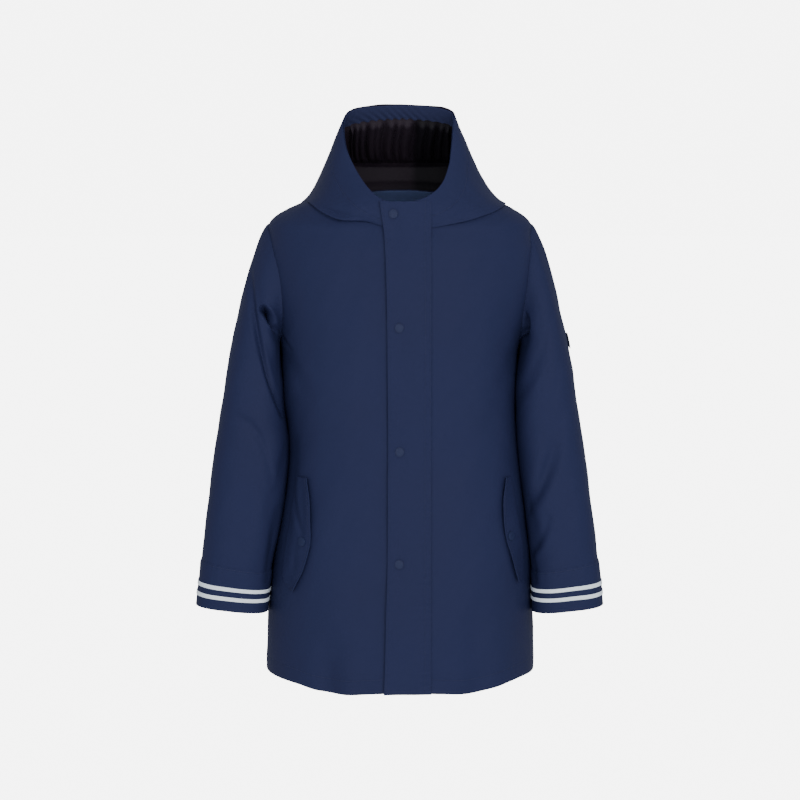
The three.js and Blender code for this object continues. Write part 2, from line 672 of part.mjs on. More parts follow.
// A layer inside the hood's shell, drawn in a little at its upper edge.
function hoodLayer(columns, firstRow, lastRow, depth) {
  const { front, back } = LINING.spare;
  const spare = (turn) => lerp(front, back, smoothstep(turn, 0, 90));
  const grid = hoodGrid(columns, firstRow, lastRow, spare);
  const face = (extra) => {
    const rows = grid.map((row) =>
      row.map(({ point, normal }, i) => moved(point, normal, -depth(columns[i].share, point.z) - extra)),
    );
    return [rows[0].map((point, i) => towards(point, rows[1][i], SEAM)), ...rows.slice(1)];
  };
  return wall(face(CLOTH + LOOSE), face(CLOTH + LOOSE + LINER));
}

// The hood's spot at an X and height near the centre front, by Newton's method.
const SEARCH = { turn: 0.5, run: 0.02, rounds: 8 };

function hoodFront(x, z) {
  const side = x < 0 ? -1 : 1;
  let [turn, run] = [Math.abs(x) / 3, 0.5];
  for (let i = 0; i < SEARCH.rounds; i += 1) {
    const at = hoodPoint(side, turn, run);
    const byTurn = hoodPoint(side, turn + SEARCH.turn, run).sub(at).divideScalar(SEARCH.turn);
    const byRun = hoodPoint(side, turn, run + SEARCH.run).sub(at).divideScalar(SEARCH.run);
    const [missX, missZ] = [x - at.x, z - at.z];
    const area = byTurn.x * byRun.z - byTurn.z * byRun.x;
    turn = Math.max(turn + (missX * byRun.z - missZ * byRun.x) / area, 0);
    run = clamp(run + (byTurn.x * missZ - byTurn.z * missX) / area, 0, 1 - SEARCH.run);
  }
  return hoodSpot(side, turn, run);
}

// Placket. It lies on the fronts' own points, and above them on the front of the hood's foot.
const COLLAR_FROM = -31; // height at which it comes to lie on the hood
const COLLAR_GAP = 0.6;
const COLLAR_TURN = 10; // the height that it takes to go over from one to the other

function placketWall() {
  const span = COLUMNS.placket;
  const joined = fronts.right.map((row, i) => {
    const rightHalf = row.slice(0, span + 1).reverse();
    return [...rightHalf, ...fronts.left[i].slice(1, span + 1)];
  });
  const rows = joined.filter((row) => row[0].point.z < COLLAR_FROM - COLLAR_TURN);
  const leftShares = steps(span).slice(1).map((t) => lerp(FRONT_SPLIT, 1, t));
  const shares = [...steps(span).map((t) => FRONT_SPLIT * t), ...leftShares];
  const collar = steps(COLLAR_ROWS).map((t) => {
    const z = lerp(COLLAR_FROM, PLACKET_TOP, t);
    return shares.map((share) => hoodFront(placketX(z, share), z));
  });
  const face = (extra) => [...layer(rows, SEAM + extra), ...layer(collar, COLLAR_GAP + extra)];
  return wall(face(CLOTH), face(0));
}

// Pocket flaps, with the free edge lifted off the panel
function flapGrid(name) {
  const rows = FLAP[name];
  const heights = steps(FLAP_STEPS.high).map((t) => lerp(rows[0].z, rows[rows.length - 1].z, t));
  return heights.map((z) =>
    steps(FLAP_STEPS.wide).map((u) => {
      const x = lerp(lookUp(rows, 'z', 'free', z), lookUp(rows, 'z', 'sewn', z), u);
      const { point, normal } = trunkSpot({ degrees: degreesAt(x, z), z });
      return { point: moved(point, normal, LOOSE + FLAP_LIFT[name] * (1 - u) ** 2), normal };
    }),
  );
}

const flapWall = (grid) => wall(layer(grid, CLOTH), layer(grid, 0));

// Snaps: a cap turned about its axis and set on the cloth. The profile is radius and height.
const SNAP_PROFILE = [
  [0, 0],
  [0.9 * SNAP_RADIUS, 0],
  [SNAP_RADIUS, 0.5],
  [SNAP_RADIUS, 1.1],
  [0.8 * SNAP_RADIUS, 1.9],
  [0.45 * SNAP_RADIUS, 2.4],
  [0, 2.4],
];
const SNAP_SIDES = 16;

function snapCap({ point, normal }, over) {
  const profile = SNAP_PROFILE.map(([radius, height]) => new THREE.Vector2(radius, height));
  const geometry = new THREE.LatheGeometry(profile, SNAP_SIDES);
  geometry.applyQuaternion(new THREE.Quaternion().setFromUnitVectors(vec(0, 1, 0), normal));
  const place = moved(point, normal, over);
  return geometry.translate(place.x, place.y, place.z);
}

function placketSnap(z) {
  const x = placketX(z, SNAP_INSET / PLACKET_WIDTH);
  if (z > COLLAR_FROM) return snapCap(hoodFront(x, z), COLLAR_GAP + CLOTH + 2 * SEAM);
  return snapCap(trunkSpot({ degrees: degreesAt(x, z), z }), CLOTH + 3 * SEAM);
}

function flapSnap(grid) {
  const { row, column } = FLAP_SNAP;
  const across = grid[row][column + 1].point.clone().sub(grid[row][column - 1].point);
  const up = grid[row + 1][column].point.clone().sub(grid[row - 1][column].point);
  const normal = across.cross(up).normalize();
  if (normal.y > 0) normal.negate();
  return snapCap({ point: grid[row][column].point, normal }, CLOTH + 2 * SEAM);
}

// The raincoat
const raincoat = new THREE.Group();
const fronts = { right: frontGrid(SIDES.right), left: frontGrid(SIDES.left) };
const back = backGrid();

function add(name, geometry, colour, roughness = 0.6) {
  const material = new THREE.MeshStandardMaterial({ color: colour, roughness, metalness: 0 });
  const mesh = new THREE.Mesh(geometry, material);
  mesh.name = name;
  raincoat.add(mesh);
}

function addSide(name) {
  const flap = flapGrid(name);
  add(`front_${name}`, panelWall(fronts[name]), COLOURS.shell);
  add(`sleeve_${name}`, sleeveWall(name), COLOURS.shell);
  add(`cuff_${name}`, cuffWall(name), COLOURS.shell);
  STRIPES_FROM_END.forEach((middle, i) =>
    add(`stripe_${i + 1}_${name}`, stripeWall(name, middle), COLOURS.tape, 0.4),
  );
  add(`pocket_flap_${name}`, flapWall(flap), COLOURS.shell);
  add(`pocket_snap_${name}`, flapSnap(flap), COLOURS.snap, 0.35);
}

function addHood() {
  const columns = hoodColumns(HOOD_COLUMNS.side, HOOD_COLUMNS.centre);
  const last = columns.length - 1;
  const seam = HOOD_COLUMNS.side;
  add('hood_side_right', hoodPanel(columns.slice(0, seam + 1)), COLOURS.shell);
  add('hood_centre', hoodPanel(columns.slice(seam, last - seam + 1)), COLOURS.shell);
  add('hood_side_left', hoodPanel(columns.slice(last - seam)), COLOURS.shell);
  const facing = hoodColumns(HOOD_COLUMNS.side, 2 * HOOD_COLUMNS.centre);
  add('hood_facing', hoodLayer(facing, 0, FACING_ROWS, () => 0), COLOURS.shell);
  const lining = hoodColumns(HOOD_COLUMNS.side, 4 * HOOD_COLUMNS.centre);
  add('hood_lining', hoodLayer(lining, FACING_ROWS, HOOD_ROWS, liningDepth), COLOURS.liner, 0.9);
}

Object.keys(SIDES).forEach(addSide);
add('back', panelWall(back), COLOURS.shell);
add('neck_facing', neckFacing(back), COLOURS.shell);
addHood();
add('placket', placketWall(), COLOURS.shell);
SNAP_HEIGHTS.forEach((z, i) => add(`snap_${i + 1}`, placketSnap(z), COLOURS.snap, 0.35));
add('sleeve_badge', badgeWall(), COLOURS.badge, 0.5);

export default raincoat;
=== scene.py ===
"""The looks of a child's hooded raincoat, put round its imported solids.

Every cloth piece is worked out in millimetres from the same tables as its solid, on a finer grid,
with the smaller creases, seam puckers and stitches that the solid leaves out. It is then made a
mesh in metres. The front faces -Y and +X is the wearer's left.
"""

import math

import bmesh
import bpy
import numpy as np
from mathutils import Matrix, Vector


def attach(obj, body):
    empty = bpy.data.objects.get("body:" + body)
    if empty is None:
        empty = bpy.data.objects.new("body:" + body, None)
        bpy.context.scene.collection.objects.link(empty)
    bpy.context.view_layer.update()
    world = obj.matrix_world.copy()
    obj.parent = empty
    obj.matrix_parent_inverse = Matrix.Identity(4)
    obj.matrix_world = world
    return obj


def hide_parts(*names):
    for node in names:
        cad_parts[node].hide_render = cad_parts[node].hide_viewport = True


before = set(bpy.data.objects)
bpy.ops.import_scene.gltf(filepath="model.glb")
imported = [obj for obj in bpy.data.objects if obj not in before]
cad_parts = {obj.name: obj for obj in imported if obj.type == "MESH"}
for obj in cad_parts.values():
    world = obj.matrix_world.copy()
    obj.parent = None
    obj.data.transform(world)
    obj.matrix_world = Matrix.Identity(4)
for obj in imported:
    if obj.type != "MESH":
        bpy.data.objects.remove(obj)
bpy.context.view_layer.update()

# Driving dimensions, in millimetres and degrees
MM = 0.001
CLOTH = 1.5
LINER = 1.1
TAPE = 0.8
SEAM = 0.3
LOOSE = 1.0
SOFT_EDGE = 0.4
HEM_HEIGHT = -667.0
ARMHOLE_TOP = -24.0
ARMHOLE_FOOT = -196.0
ARMHOLE_ROUNDNESS = 0.7
ARMHOLE_BITE = {"front": {-1: 28.0, 1: 24.0}, "back": {-1: 26.0, 1: 26.0}}
BITE_SPREAD = 1.6
NECK_DIP = {"front": 30.0, "back": 0.0}
NECK_DIP_POWER = 1.5
FOOT = {"front": -33.0, "side": 2.0, "back": 14.0}
FOOT_POWER = 1.2
FOOT_RISE = {"right": 7.5, "starts": (-6.0, 12.0), "ends": (72.0, 118.0)}
NECK_INSET = 8.0
FOOT_GAP = 1.5
PLACKET_FAR = 43.0
PLACKET_TOP = 8.0
FRONT_SPLIT = 0.45
FACING_WIDTH = 32.0
HOOD_SEAM = {"edge": 126.0, "foot": 156.0}
CUFF_HEIGHT = 62.0
STRIPE_WIDTH = 5.6
STRIPES_FROM_END = (17.0, 30.5)
STRIPE_SKEW = {"right": 2.0, "left": 3.4}
SNAP_INSET = 16.3
SNAP_HEIGHTS = (-9.0, -163.0, -331.0, -485.0)
BADGE = {"z": -187.0, "height": 20.0, "width": 26.0, "thick": 1.4, "radius": 60.0}
COLLAR_FROM = -26.0
COLLAR_TURN = 10.0
SIDES = {"right": -1, "left": 1}


def table(columns, *rows):
    """Rows of numbers as named columns."""
    return dict(zip(columns.split(), np.array(rows, float).T))


TRUNK = table(
    "z half side front back shift square",
    (-676, 190, 10, 128, 106, 0, 2.3),
    (-630, 190, 14, 132, 102, 0, 2.4),
    (-557, 188.5, 28, 145, 86, 0.2, 2.6),
    (-498, 185, 34, 151, 76, 2.5, 2.8),
    (-414, 172.3, 36, 151, 70, 5.8, 3.0),
    (-330, 163.5, 36, 148, 68, 4.6, 3.0),
    (-267, 165.2, 34, 144, 72, 0, 3.0),
    (-235, 166.6, 31, 139.5, 77, -1, 2.9),
    (-196, 168, 20, 127, 90, -0.5, 2.6),
    (-160, 175.5, 14, 120, 97, 1.5, 2.4),
    (-115, 186, 10, 113, 101, 3, 2.3),
    (-60, 188, 8, 103, 96, 1.5, 2.3),
    (-36, 184, 6, 94, 91, 0, 2.3),
    (-24, 183, 6, 90, 86, 0, 2.3),
    (-14, 174, 6, 84, 82, 0, 2.25),
    (-2, 154.5, 6, 78, 77, 0, 2.2),
    (9, 132, 6, 71, 72, 0, 2.15),
    (23, 104, 6, 60, 64, 0, 2.1),
)

# The hem's height round the ring, from the centre back by the right side, front and left side
HEM = table(
    "turn z",
    (-180, -668),
    (-150, -669),
    (-118, -664),
    (-90, -655),
    (-62, -656),
    (-45, -659.5),
    (-33, -666),
    (-20, -669),
    (0, -665.5),
    (14, -667),
    (28, -669),
    (39, -664),
    (50, -658.5),
    (64, -655),
    (90, -655),
    (120, -663),
    (152, -669),
    (180, -668),
)

PLACKET_EDGE = table(
    "z x",
    (-675, -21.8),
    (-590, -19.4),
    (-500, -17.2),
    (-380, -16.2),
    (-130, -17.4),
    (-60, -19.8),
    (-30, -22.4),
    (8, -27.4),
)

SLEEVE_COLUMNS = "z x y across deep tilt"
SLEEVE = {
    "right": table(
        SLEEVE_COLUMNS,
        (-561, 236.8, -26, 49.4, 42, 6),
        (-498, 229.2, -26, 49.8, 46, 9),
        (-414, 215.9, -24, 53.1, 50, 9),
        (-330, 205.7, -18, 51.5, 54, 8),
        (-267, 204.1, -15, 42.8, 58, 9),
        (-240, 202.8, -11, 41, 60, 9),
    ),
    "left": table(
        SLEEVE_COLUMNS,
        (-561, 236, -26, 48.4, 42, 6),
        (-498, 231.2, -25, 46.8, 48, 9),
        (-414, 220.7, -22, 46.8, 53, 9),
        (-330, 209.7, -16, 46.3, 56, 8),
        (-267, 203, -15, 43.1, 58, 9),
        (-240, 201.2, -11, 41.2, 60, 9),
    ),
}
TUBE_TOP = -240.0
TUBE_END = -561.0
TUBE_SQUARE = 2.7

# Out, in depth, in height and into the tube: how the sleeve's cap leaves the armhole
CAP = {"top": (70, 0, -26, 70), "side": (46, 6, -30, 90), "foot": (2, 0, 0, 34)}

HOOD = table(
    "turn right left edgeY edgeZ firstX firstY firstZ lastX lastY lastZ",
    (0, 0, 0, -86, 8, 0, -88, -4, 0, -90, -18),
    (15, 17, 20, -84, 9, 25, -87, -3, 40, -89, -15),
    (30, 33, 40, -78, 16, 46, -84, 3, 67, -86, -8),
    (45, 48, 57, -66, 32, 65, -73, 16, 90, -76, 0),
    (60, 63, 67, -51, 56, 82, -56, 36, 106, -55, 8),
    (75, 74, 71, -39, 80, 92, -38, 58, 111, -27, 15),
    (90, 79, 74, -30, 104, 97, -18, 76, 113, 2, 22),
    (105, 79, 76, -24, 119, 94, 2, 90, 114, 36, 26),
    (120, 73, 74, -19, 130, 86, 18, 98, 112, 78, 26),
    (135, 61, 61, -16, 136, 72, 27, 101, 100, 122, 24),
    (150, 43, 43, -14, 139, 51, 29, 101, 77, 154, 22),
    (165, 22, 22, -13, 140.5, 26, 29, 100, 42, 173, 20),
    (180, 0, 0, -12, 141, 0, 28, 100, 0, 180, 20),
)

FLAP = {
    "right": table(
        "z free sewn",
        (-529, -146, -150.5),
        (-516, -139, -160.5),
        (-497, -130, -161.5),
        (-463, -121.5, -158),
        (-441, -120, -154.5),
        (-400, -121, -147),
        (-371, -125, -140.5),
    ),
    "left": table(
        "z free sewn",
        (-517, 161.5, 168),
        (-500, 156, 171),
        (-484, 151.5, 170.5),
        (-456, 144.5, 167),
        (-428, 140.5, 162),
        (-400, 139, 157),
        (-371, 143, 151.5),
    ),
}
FLAP_LIFT = {"right": 4.5, "left": 4.0}
FLAP_SNAP = {"row": 4 / 9, "column": 1 / 3}  # its place as shares of the flap's length and width
FLAP_STITCH = 4.0

# Folds, as troughs along curves seen from the front or back: start, handle and end, the depth at
# those three, and the half width. The first rows of each piece are those of its solid.
FOLDS = {
    "right": (
        ("front", -205, -84, -193, -190, -157, -284, 1, 5, 2, 12),
        ("front", -190, -136, -178, -162, -157, -196, 2, 6, 2, 9),
        ("front", -236, -288, -198, -296, -181, -345, 0, 3.5, 0, 12),
        ("front", -172, -372, -184, -410, -176, -470, 0, 4, 0, 14),
        ("front", -210, -90, -200, -187, -162, -287, 2, 8, 4, 5),
        ("front", -208, -121, -209, -169, -190, -213, 0, 2.5, 0, 11),
        ("front", -189, -140, -183, -145, -177, -157, 16, 30, 8, 5.2),
        ("front", -178, -156, -171, -168, -160, -188, 8, 6, 2, 3.5),
        ("front", -221, -289, -191, -293, -177, -377, 0.6, 2, 0.8, 6),
        ("front", -156, -321, -161, -352, -172, -405, 0, 3, 0, 8),
        ("front", -168, -419, -177, -468, -184, -521, 1, 4, 2, 8),
        ("back", -202, -90, -204, -170, -176, -270, 0, 3, 0, 6),
        ("back", -226, -300, -196, -318, -184, -380, 0.5, 2, 0.5, 6),
        ("back", -184, -425, -196, -448, -222, -462, 0, 2, 0, 8),
        ("back", -190, -150, -186, -235, -218, -330, 1, 7, 0, 14),
        ("back", -172, -300, -208, -330, -240, -322, 0, 5, 0, 13),
    ),
    "left": (
        ("front", 168, -146, 181, -170, 158, -206, 2, 8, 2, 9),
        ("front", 196, -186, 182, -232, 160, -268, 0, 4, 1, 11),
        ("front", 212, -318, 205, -372, 174, -412, 0, 7, 1, 14),
        ("front", 204, -418, 188, -440, 182, -478, 0, 2, 0, 12),
        ("front", 173, -152, 177, -163, 171, -176, 6, 13, 5, 4.5),
        ("front", 171, -172, 165, -186, 161, -206, 4, 4, 2, 3.5),
        ("front", 214, -127, 204, -183, 182, -227, 0, 1, 0, 6),
        ("front", 204, -196, 193, -227, 171, -255, 0, 1, 0, 6),
        ("front", 227, -169, 221, -238, 204, -280, 0, 0.9, 0, 7),
        ("front", 221, -291, 212, -370, 172, -422, 0.5, 4, 2, 11),
        ("front", 178, -422, 189, -439, 186, -468, 1.5, 2.5, 2, 10),
        ("front", 205, -430, 199, -457, 182, -480, 1.5, 3.5, 3, 8),
        ("front", 181, -478, 184, -498, 189, -521, 2, 3, 2, 6),
        ("back", 206, -100, 204, -180, 180, -262, 0, 3, 0, 6),
        ("back", 230, -290, 204, -322, 190, -392, 0.5, 2.2, 0.5, 7),
        ("back", 186, -440, 200, -462, 226, -470, 0, 2, 0, 8),
        ("back", 188, -150, 190, -240, 222, -315, 1, 7, 0, 14),
        ("back", 176, -318, 210, -345, 242, -338, 0, 5, 0, 13),
    ),
    "flap_right": (
        ("front", -144.5, -368, -149, -412, -133, -448, 1, 2.6, 1, 5),
        ("front", -125, -378, -124, -415, -124, -460, 0, -1.6, 0, 5),
        ("front", -141, -455, -146, -480, -144, -506, 0, 2, 0, 6),
    ),
    "hood": (
        ("front", -124, 10, -96, -12, -44, -27, 0, 1.6, 0.6, 7),
        ("front", 118, 12, 92, -8, 52, -22, 0, 1.4, 0.4, 7),
        ("front", -74, 70, -84, 40, -78, 14, 0, 1.0, 0, 9),
        ("front", 78, 76, 86, 44, 84, 20, 0, 0.9, 0, 9),
        ("front", 60, 24, 74, 10, 90, 6, 0, 0.9, 0, 6),
        ("back", -70, 110, -78, 60, -60, 26, 0, 1.5, 0, 14),
        ("back", 72, 104, 80, 62, 62, 30, 0, 1.5, 0, 14),
        ("back", -20, 60, 4, 44, 34, 52, 0, 1.2, 0, 10),
    ),
    "trunk": (
        ("front", -146, -318, -149, -405, -160, -500, 1, 4, 0, 9),
        ("front", -158, -206, -136, -236, -128, -262, 2, 2, 0, 14),
        ("front", -167, -178, -159, -188, -148, -200, 3, 3, 0, 4),
        ("front", 158, -206, 140, -240, 134, -280, 1.5, 1.5, 0, 14),
        ("front", -96, -560, -104, -610, -98, -670, 0, 3, 5, 24),
        ("front", 104, -540, 112, -600, 106, -670, 0, 3, 5, 24),
        ("back", -150, -190, -112, -230, -92, -300, 5, 4, 0, 18),
        ("back", 150, -190, 112, -236, 96, -320, 5, 4, 0, 18),
        ("back", -62, -380, -70, -520, -64, -672, 0, 5, 7, 30),
        ("back", 58, -360, 66, -520, 60, -672, 0, 5, 7, 30),
    ),
}

# The camera stands where the photographer stood.
CAMERA = {"target": (0.0, 0.0, -0.272), "distance": 3.217, "elevation": 6.0, "lens": 102.87}


# Sums on arrays
def smoothstep(value, low, high):
    t = np.clip((value - low) / (high - low), 0, 1)
    return t * t * (3 - 2 * t)


def lerp(a, b, t):
    return a + (b - a) * t


def power(value, exponent):
    return np.sign(value) * np.abs(value) ** exponent


def unit(vectors):
    return vectors / np.maximum(np.linalg.norm(vectors, axis=-1, keepdims=True), 1e-9)


def points(x, y, z):
    return np.stack(np.broadcast_arrays(x, y, z), -1).astype(float)


def steps(count):
    return np.linspace(0, 1, count + 1)


def hermite(start, leave, end, enter, t):
    u = 1 - t
    return start * u * u * (1 + 2 * t) + leave * t * u * u + end * t * t * (3 - 2 * t) - enter * t * t * u


def bezier(a, b, c, t):
    return a * (1 - t) ** 2 + 2 * b * t * (1 - t) + c * t * t


def look_up(rows, column, value, key="z"):
    """A smooth column of a table at any values of its key, which rises."""
    at, of = rows[key], rows[column]
    last = len(at) - 1
    before = np.maximum(np.arange(last + 1) - 1, 0)
    after = np.minimum(np.arange(last + 1) + 1, last)
    slope = (of[after] - of[before]) / (at[after] - at[before])
    value = np.clip(value, at[0], at[-1])
    i = np.clip(np.searchsorted(at, value, side="right") - 1, 0, last - 1)
    span = at[i + 1] - at[i]
    return hermite(of[i], slope[i] * span, of[i + 1], slope[i + 1] * span, (value - at[i]) / span)


def normal_of(surface, u, v, step_u, step_v):
    """Unit normals of a surface that two parameters give."""
    along_u = surface(u + step_u, v) - surface(u - step_u, v)
    along_v = surface(u, v + step_v) - surface(u, v - step_v)
    return unit(np.cross(along_u, along_v))


# Folds
CURVE_PIECES = 12
REACH = 3.0  # half widths beyond which a fold is too shallow to count

# Slow waves that keep the cloth from looking moulded: length, direction in X, Y and Z, and height
WAVES = (
    (96.0, 0.9, 0.3, 0.25, 0.35),
    (71.0, 0.8, -0.4, -0.45, 0.30),
    (54.0, -0.7, 0.2, 0.65, 0.22),
    (43.0, 0.95, 0.1, -0.2, 0.20),
    (33.0, 0.5, 0.6, 0.6, 0.13),
    (24.0, -0.8, 0.3, 0.5, 0.09),
)


def drape(point):
    """A height of a few tenths of a millimetre that changes slowly over the cloth."""
    total = np.zeros(point.shape[:-1])
    for i, (length, *direction, height) in enumerate(WAVES):
        phase = point @ unit(np.array(direction)) * 2 * np.pi / length + 1.7 * i
        bend = np.sin(point[..., 2] / (1.9 * length) + i)
        total += height * np.sin(phase + 1.3 * bend)
    return total


def creases(piece, point, normal):
    """How far a piece's own folds push the cloth in along its normal."""
    total = np.zeros(point.shape[:-1])
    for face, x0, z0, x1, z1, x2, z2, *depths, width in FOLDS.get(piece, ()):
        t = steps(CURVE_PIECES)
        curve_x, curve_z = bezier(x0, x1, x2, t), bezier(z0, z1, z2, t)
        margin = REACH * width
        near = (
            (point[..., 0] > curve_x.min() - margin)
            & (point[..., 0] < curve_x.max() + margin)
            & (point[..., 2] > curve_z.min() - margin)
            & (point[..., 2] < curve_z.max() + margin)
            & ((normal[..., 1] < 0) == (face == "front"))
        )
        if not near.any():
            continue
        x, z = point[near][:, :1, None][..., 0], point[near][:, 2:3]
        start_x, start_z = curve_x[:-1], curve_z[:-1]
        run_x, run_z = np.diff(curve_x), np.diff(curve_z)
        share = ((x - start_x) * run_x + (z - start_z) * run_z) / (run_x**2 + run_z**2)
        share = np.clip(share, 0, 1)
        distance = np.hypot(x - start_x - share * run_x, z - start_z - share * run_z)
        nearest = distance.argmin(1)
        rows = np.arange(len(nearest))
        along = (nearest + share[rows, nearest]) / CURVE_PIECES
        spread = (distance[rows, nearest] / width) ** 2
        facing = smoothstep(np.abs(normal[near][:, 1]), 0.05, 0.45)
        total[near] += facing * bezier(*depths, along) * (1 - spread) * np.exp(-spread)
    return total


def fold_depth(piece, point, normal):
    return creases(piece, point, normal) - drape(point)


# Trunk, by degrees from the centre front, positive towards the wearer's left, and height
RING_STEP = 0.4


def trunk_ring(degrees, z):
    degrees, z = np.broadcast_arrays(degrees, z)
    exponent = 2 / look_up(TRUNK, "square", z)
    sine = power(np.sin(np.radians(degrees)), exponent)
    cosine = power(np.cos(np.radians(degrees)), exponent)
    depth = np.where(cosine > 0, look_up(TRUNK, "front", z), look_up(TRUNK, "back", z))
    x = look_up(TRUNK, "shift", z) + look_up(TRUNK, "half", z) * sine
    return points(x, look_up(TRUNK, "side", z) - depth * cosine, z)


def trunk(degrees, z):
    point = trunk_ring(degrees, z)
    normal = normal_of(trunk_ring, degrees, z, RING_STEP, RING_STEP)
    return point - normal * fold_depth("trunk", point, normal)[..., None]


def trunk_normal(degrees, z):
    return normal_of(trunk, degrees, z, RING_STEP, RING_STEP)


def degrees_at(x, z):
    """Degrees of the ring where its front half has a given X."""
    share = (x - look_up(TRUNK, "shift", z)) / look_up(TRUNK, "half", z)
    return np.degrees(np.arcsin(power(share, look_up(TRUNK, "square", z) / 2)))


def placket_x(z, share):
    return lerp(look_up(PLACKET_EDGE, "x", z), PLACKET_FAR, share)


def hem_height(degrees):
    return look_up(HEM, "z", degrees, "turn")


def hood_foot(degrees):
    sine = np.abs(np.sin(np.radians(degrees)))
    front = lerp(FOOT["front"], FOOT["side"], sine**FOOT_POWER)
    rise = smoothstep(-degrees, *FOOT_RISE["starts"]) * (1 - smoothstep(-degrees, *FOOT_RISE["ends"]))
    foot = np.where(np.abs(degrees) < 90, front, lerp(FOOT["back"], FOOT["side"], sine**2))
    return foot + FOOT_RISE["right"] * rise


def armhole_edge(side, half, j):
    """Degrees and height of the armhole's edge, from the shoulder point (0) to the underarm (1)."""
    down = lerp(j, (1 - np.cos(np.pi * j)) / 2, ARMHOLE_ROUNDNESS)
    bite = ARMHOLE_BITE[half][side] * np.sin(np.pi * j)
    return side * (90 - bite if half == "front" else 90 + bite), lerp(ARMHOLE_TOP, ARMHOLE_FOOT, down)


def panel_places(side, half, centre, rows, columns):
    """Degrees and heights of a panel's grid, from its centre line out to its side seam."""
    u = steps(columns)[None]
    seam = 90.0 * side

    def along(z):
        return lerp(centre(z), seam, u)

    def sunk(z):
        height = np.clip((z - ARMHOLE_FOOT) / (ARMHOLE_TOP - ARMHOLE_FOOT), 0, 1)
        return z - NECK_DIP[half] * ((1 - u) * height) ** NECK_DIP_POWER

    hem = hem_height(along(np.array([[ARMHOLE_FOOT]])))
    skirt = lerp(hem, ARMHOLE_FOOT, steps(rows["skirt"])[:-1, None])
    edge, edge_z = armhole_edge(side, half, 1 - steps(rows["armhole"])[:, None])
    chest = sunk(edge_z)
    low = sunk(np.array([[ARMHOLE_TOP]]))
    top = hood_foot(along(low)) + NECK_INSET
    shoulder = lerp(low, top, steps(rows["shoulder"])[1:, None])
    cut = (edge - seam) * u**BITE_SPREAD
    degrees = np.concatenate([along(skirt), along(chest) + cut, along(shoulder)])
    return degrees, np.concatenate([skirt, chest, shoulder])


# Sleeves, by degrees from the outer line over the back, and length: 0 to 1 down the cap, then to 2
SLEEVE_STEP = (1.0, 0.004)


def from_end(distance):
    return 2 - distance / (TUBE_TOP - TUBE_END)


def sleeve_ring(name, rounds, z):
    rounds, z = np.broadcast_arrays(rounds, z)
    rows = SLEEVE[name]
    out = look_up(rows, "across", z) * power(np.cos(np.radians(rounds)), 2 / TUBE_SQUARE)
    tilt = np.radians(look_up(rows, "tilt", z))
    x = SIDES[name] * (look_up(rows, "x", z) + out * np.cos(tilt))
    y = look_up(rows, "y", z) + look_up(rows, "deep", z) * power(np.sin(np.radians(rounds)), 2 / TUBE_SQUARE)
    return points(x, y, z + out * np.sin(tilt))


def armhole_spot(name, rounds, growth=1.0):
    """Degrees and heights round the armhole, grown by a share about its middle."""
    turn = np.mod(rounds, 360)
    back = armhole_edge(SIDES[name], "back", turn / 180)
    front = armhole_edge(SIDES[name], "front", 2 - turn / 180)
    degrees, z = (np.where(turn <= 180, b, f) for b, f in zip(back, front))
    middle = (ARMHOLE_TOP + ARMHOLE_FOOT) / 2
    return lerp(90.0 * SIDES[name], degrees, growth), lerp(middle, z, growth)


def cap_point(name, rounds, t):
    start = trunk(*armhole_spot(name, rounds))
    end = sleeve_ring(name, rounds, TUBE_TOP)
    downwards = unit(sleeve_ring(name, rounds, TUBE_TOP - 1) - end)
    cosine, sine = np.cos(np.radians(rounds)), np.sin(np.radians(rounds))
    weights = (np.maximum(cosine, 0) ** 2, sine**2, np.maximum(-cosine, 0) ** 2)
    out, depth, rise, into = (
        sum(w * CAP[key][i] for w, key in zip(weights, ("top", "side", "foot"))) for i in range(4)
    )
    leave = points(SIDES[name] * out, np.sign(sine) * depth, rise)
    return hermite(start, leave, end, downwards * into[..., None], t[..., None])


def sleeve_form(name, rounds, length):
    rounds, length = np.broadcast_arrays(np.asarray(rounds, float), np.asarray(length, float))
    form = np.zeros(rounds.shape + (3,))
    cap = length < 1
    if cap.any():
        form[cap] = cap_point(name, rounds[cap], np.maximum(length[cap], 0))
    tube = lerp(TUBE_TOP, TUBE_END, length[~cap] - 1)
    form[~cap] = sleeve_ring(name, rounds[~cap], tube)
    return form


def sleeve_normal(name, surface, rounds, length):
    inside = np.maximum(length, 2 * SLEEVE_STEP[1])
    return -SIDES[name] * normal_of(surface, rounds, inside, *SLEEVE_STEP)


def sleeve(name, rounds, length):
    rounds, length = np.broadcast_arrays(np.asarray(rounds, float), np.asarray(length, float))
    point = sleeve_form(name, rounds, length)
    normal = sleeve_normal(name, lambda r, l: sleeve_form(name, r, l), rounds, length)
    depth = smoothstep(length, 0, 0.12) * fold_depth(name, point, normal)
    return point - normal * depth[..., None]


# Hood, by degrees from the centre front, and run: 0 at the front edge to 1 at the foot
HOOD_STEP = (1.0, 0.01)
CURVE_SAMPLES = 64


